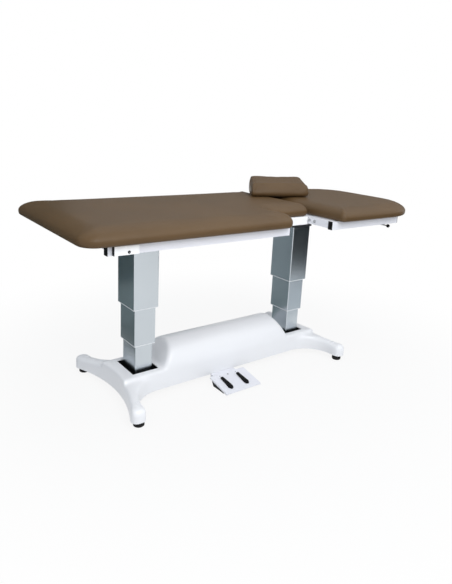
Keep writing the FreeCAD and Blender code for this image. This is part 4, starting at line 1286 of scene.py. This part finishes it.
@dataclass(frozen=True)
class Studio:
    """Pale floor, plain light and the camera."""

    camera_place: Point = (-1.5985, -1.976, 1.200)
    right: Point = (0.7858, -0.6161, 0.0554)
    up: Point = (0.1049, 0.2209, 0.9696)
    sensor: float = 36.0
    lens: float = 32.44
    shift: Span = (-0.0248, -0.0683)
    floor_size: float = 30.0
    shadow_span: Span = (0.7, 1.9)
    shadow_glow: float = 0.89
    ambient: float = 0.72
    ambient_tone: Colour = (0.955, 1.0, 1.05)
    floor_tone: Colour = (0.62, 0.62, 0.62)
    lamps: tuple[Lamp, ...] = (
        Lamp("key_lamp", (-0.8, -2.6, 2.5), (-0.2, 0.0, 0.4), 1.8, 62.0),
        Lamp("top_lamp", (1.2, -0.9, 3.3), (0.0, 0.0, 0.0), 2.2, 20.0),
    )
    flags: tuple[Flag, ...] = (
        Flag("left_flag", (-1.80, 0.72, 1.03), (0.0, -1.0, 0.0), (2.36, 1.54), (0.075, 0.103, 0.105)),
        Flag("left_low_flag", (-1.80, 0.72, 0.13), (0.0, -1.0, 0.0), (2.36, 0.26), (0.205, 0.25, 0.25)),
        Flag("left_mat", (-1.65, 0.30, 0.004), (0.0, 0.0, 1.0), (1.7, 0.84), (0.085, 0.115, 0.115)),
        Flag("middle_flag", (-0.18, 0.72, 0.41), (0.0, -1.0, 0.0), (0.88, 0.82), (0.47, 0.53, 0.54)),
        Flag("middle_mat", (-0.23, 0.46, 0.004), (0.0, 0.0, 1.0), (0.98, 0.52), (0.27, 0.325, 0.325)),
        Flag("right_flag", (1.25, -1.0, 0.44), (-0.71, 0.70, 0.0), (1.9, 0.72), (0.015, 0.02, 0.02)),
        Flag("right_mat", (1.05, -0.78, 0.004), (0.0, 0.0, 1.0), (0.9, 0.66), (0.50, 0.53, 0.55)),
        Flag("back_flag", (1.9, 2.3, 1.75), (-0.63, -0.777, 0.0), (6.0, 2.2), (0.36, 0.36, 0.35)),
    )

    def build(self) -> None:
        """Set the stage: floor, lamps, world and camera."""
        self.lay_floor()
        for thing in (*self.lamps, *self.flags):
            thing.build()
        self.light_world()
        self.set_camera()
        bpy.context.scene.view_settings.view_transform = "Standard"

    def seen_directly(self, tree: NodeTree) -> Socket:
        """Tell what is seen from what only lights, for a white background.

        Args:
            tree: Tree to add the nodes to.

        Returns:
            Factor that is 1 for camera, glossy and transmission rays.
        """
        path = tree.node("LightPath", {})
        total: Socket = path.outputs["Is Camera Ray"]
        for name in ("Is Glossy Ray", "Is Transmission Ray"):
            larger = tree.node("Math", {0: total, 1: path.outputs[name]}, operation="MAXIMUM")
            total = larger.outputs["Value"]
        return total

    def lay_floor(self) -> None:
        """Pale floor that keeps the object's shadow and runs out to white."""
        shape = rectangle(self.floor_size, self.floor_size)
        floor = in_scene("studio_floor", as_mesh(shape, "studio_floor"))
        sheet = NodeSheet("pale_floor")
        sheet.surface(Base_Color=opaque(self.floor_tone), Roughness=MATT)
        glow = sheet.node("Emission", {"Color": opaque(WHITE), "Strength": 1.0})
        far = sheet.node("VectorMath", {0: sheet.place}, operation="LENGTH")
        share = sheet.remap(far.outputs["Value"], self.shadow_span, self.shadow_glow, 1.0)
        seen = self.seen_directly(sheet)
        factor = sheet.node("Math", {0: share, 1: seen}, operation="MULTIPLY")
        inputs = {0: factor.outputs["Value"], 1: sheet.shader.outputs["BSDF"], 2: glow.outputs["Emission"]}
        mix = sheet.node("MixShader", inputs)
        sheet.plug(sheet.nodes["Material Output"].inputs["Surface"], mix.outputs["Shader"])
        floor.data.materials.append(sheet.material)

    def light_world(self) -> None:
        """Even light all round, seen as white."""
        world = bpy.data.worlds.new("studio_world")
        bpy.context.scene.world = world
        world.use_nodes = True
        tree = NodeTree(world.node_tree)
        seen = self.seen_directly(tree)
        strength = tree.node("MapRange", {"Value": seen, "To Min": self.ambient, "To Max": 1.0})
        background = tree.nodes["Background"]
        tree.plug(background.inputs["Color"], tree.tint(seen, self.ambient_tone, WHITE))
        tree.plug(background.inputs["Strength"], strength.outputs["Result"])

    def set_camera(self) -> None:
        """Camera at the photograph's viewing angle."""
        data = bpy.data.cameras.new("camera")
        data.sensor_width = self.sensor
        data.lens = self.lens
        data.shift_x, data.shift_y = self.shift
        camera = in_scene("camera", data)
        right, up = Vector(self.right).normalized(), Vector(self.up).normalized()
        turn = Matrix((right, up, right.cross(up))).transposed().to_4x4()
        camera.matrix_world = Matrix.Translation(self.camera_place) @ turn
        bpy.context.scene.camera = camera


def main() -> None:
    """Dress the frame, make the soft and detailed pieces, and set the studio."""
    logging.basicConfig(level=logging.INFO, format="%(name)s: %(message)s")
    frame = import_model()
    Studio().build()
    shop = Workshop(frame)
    for cushion in (MAIN_PAD, HEAD_PAD, PILLOW):
        cushion.build(shop)
    BaseCover().build(shop, frame)
    FootControl().build(shop)
    SocketSleeve().build(shop)


if __name__ == "__main__":
    main()
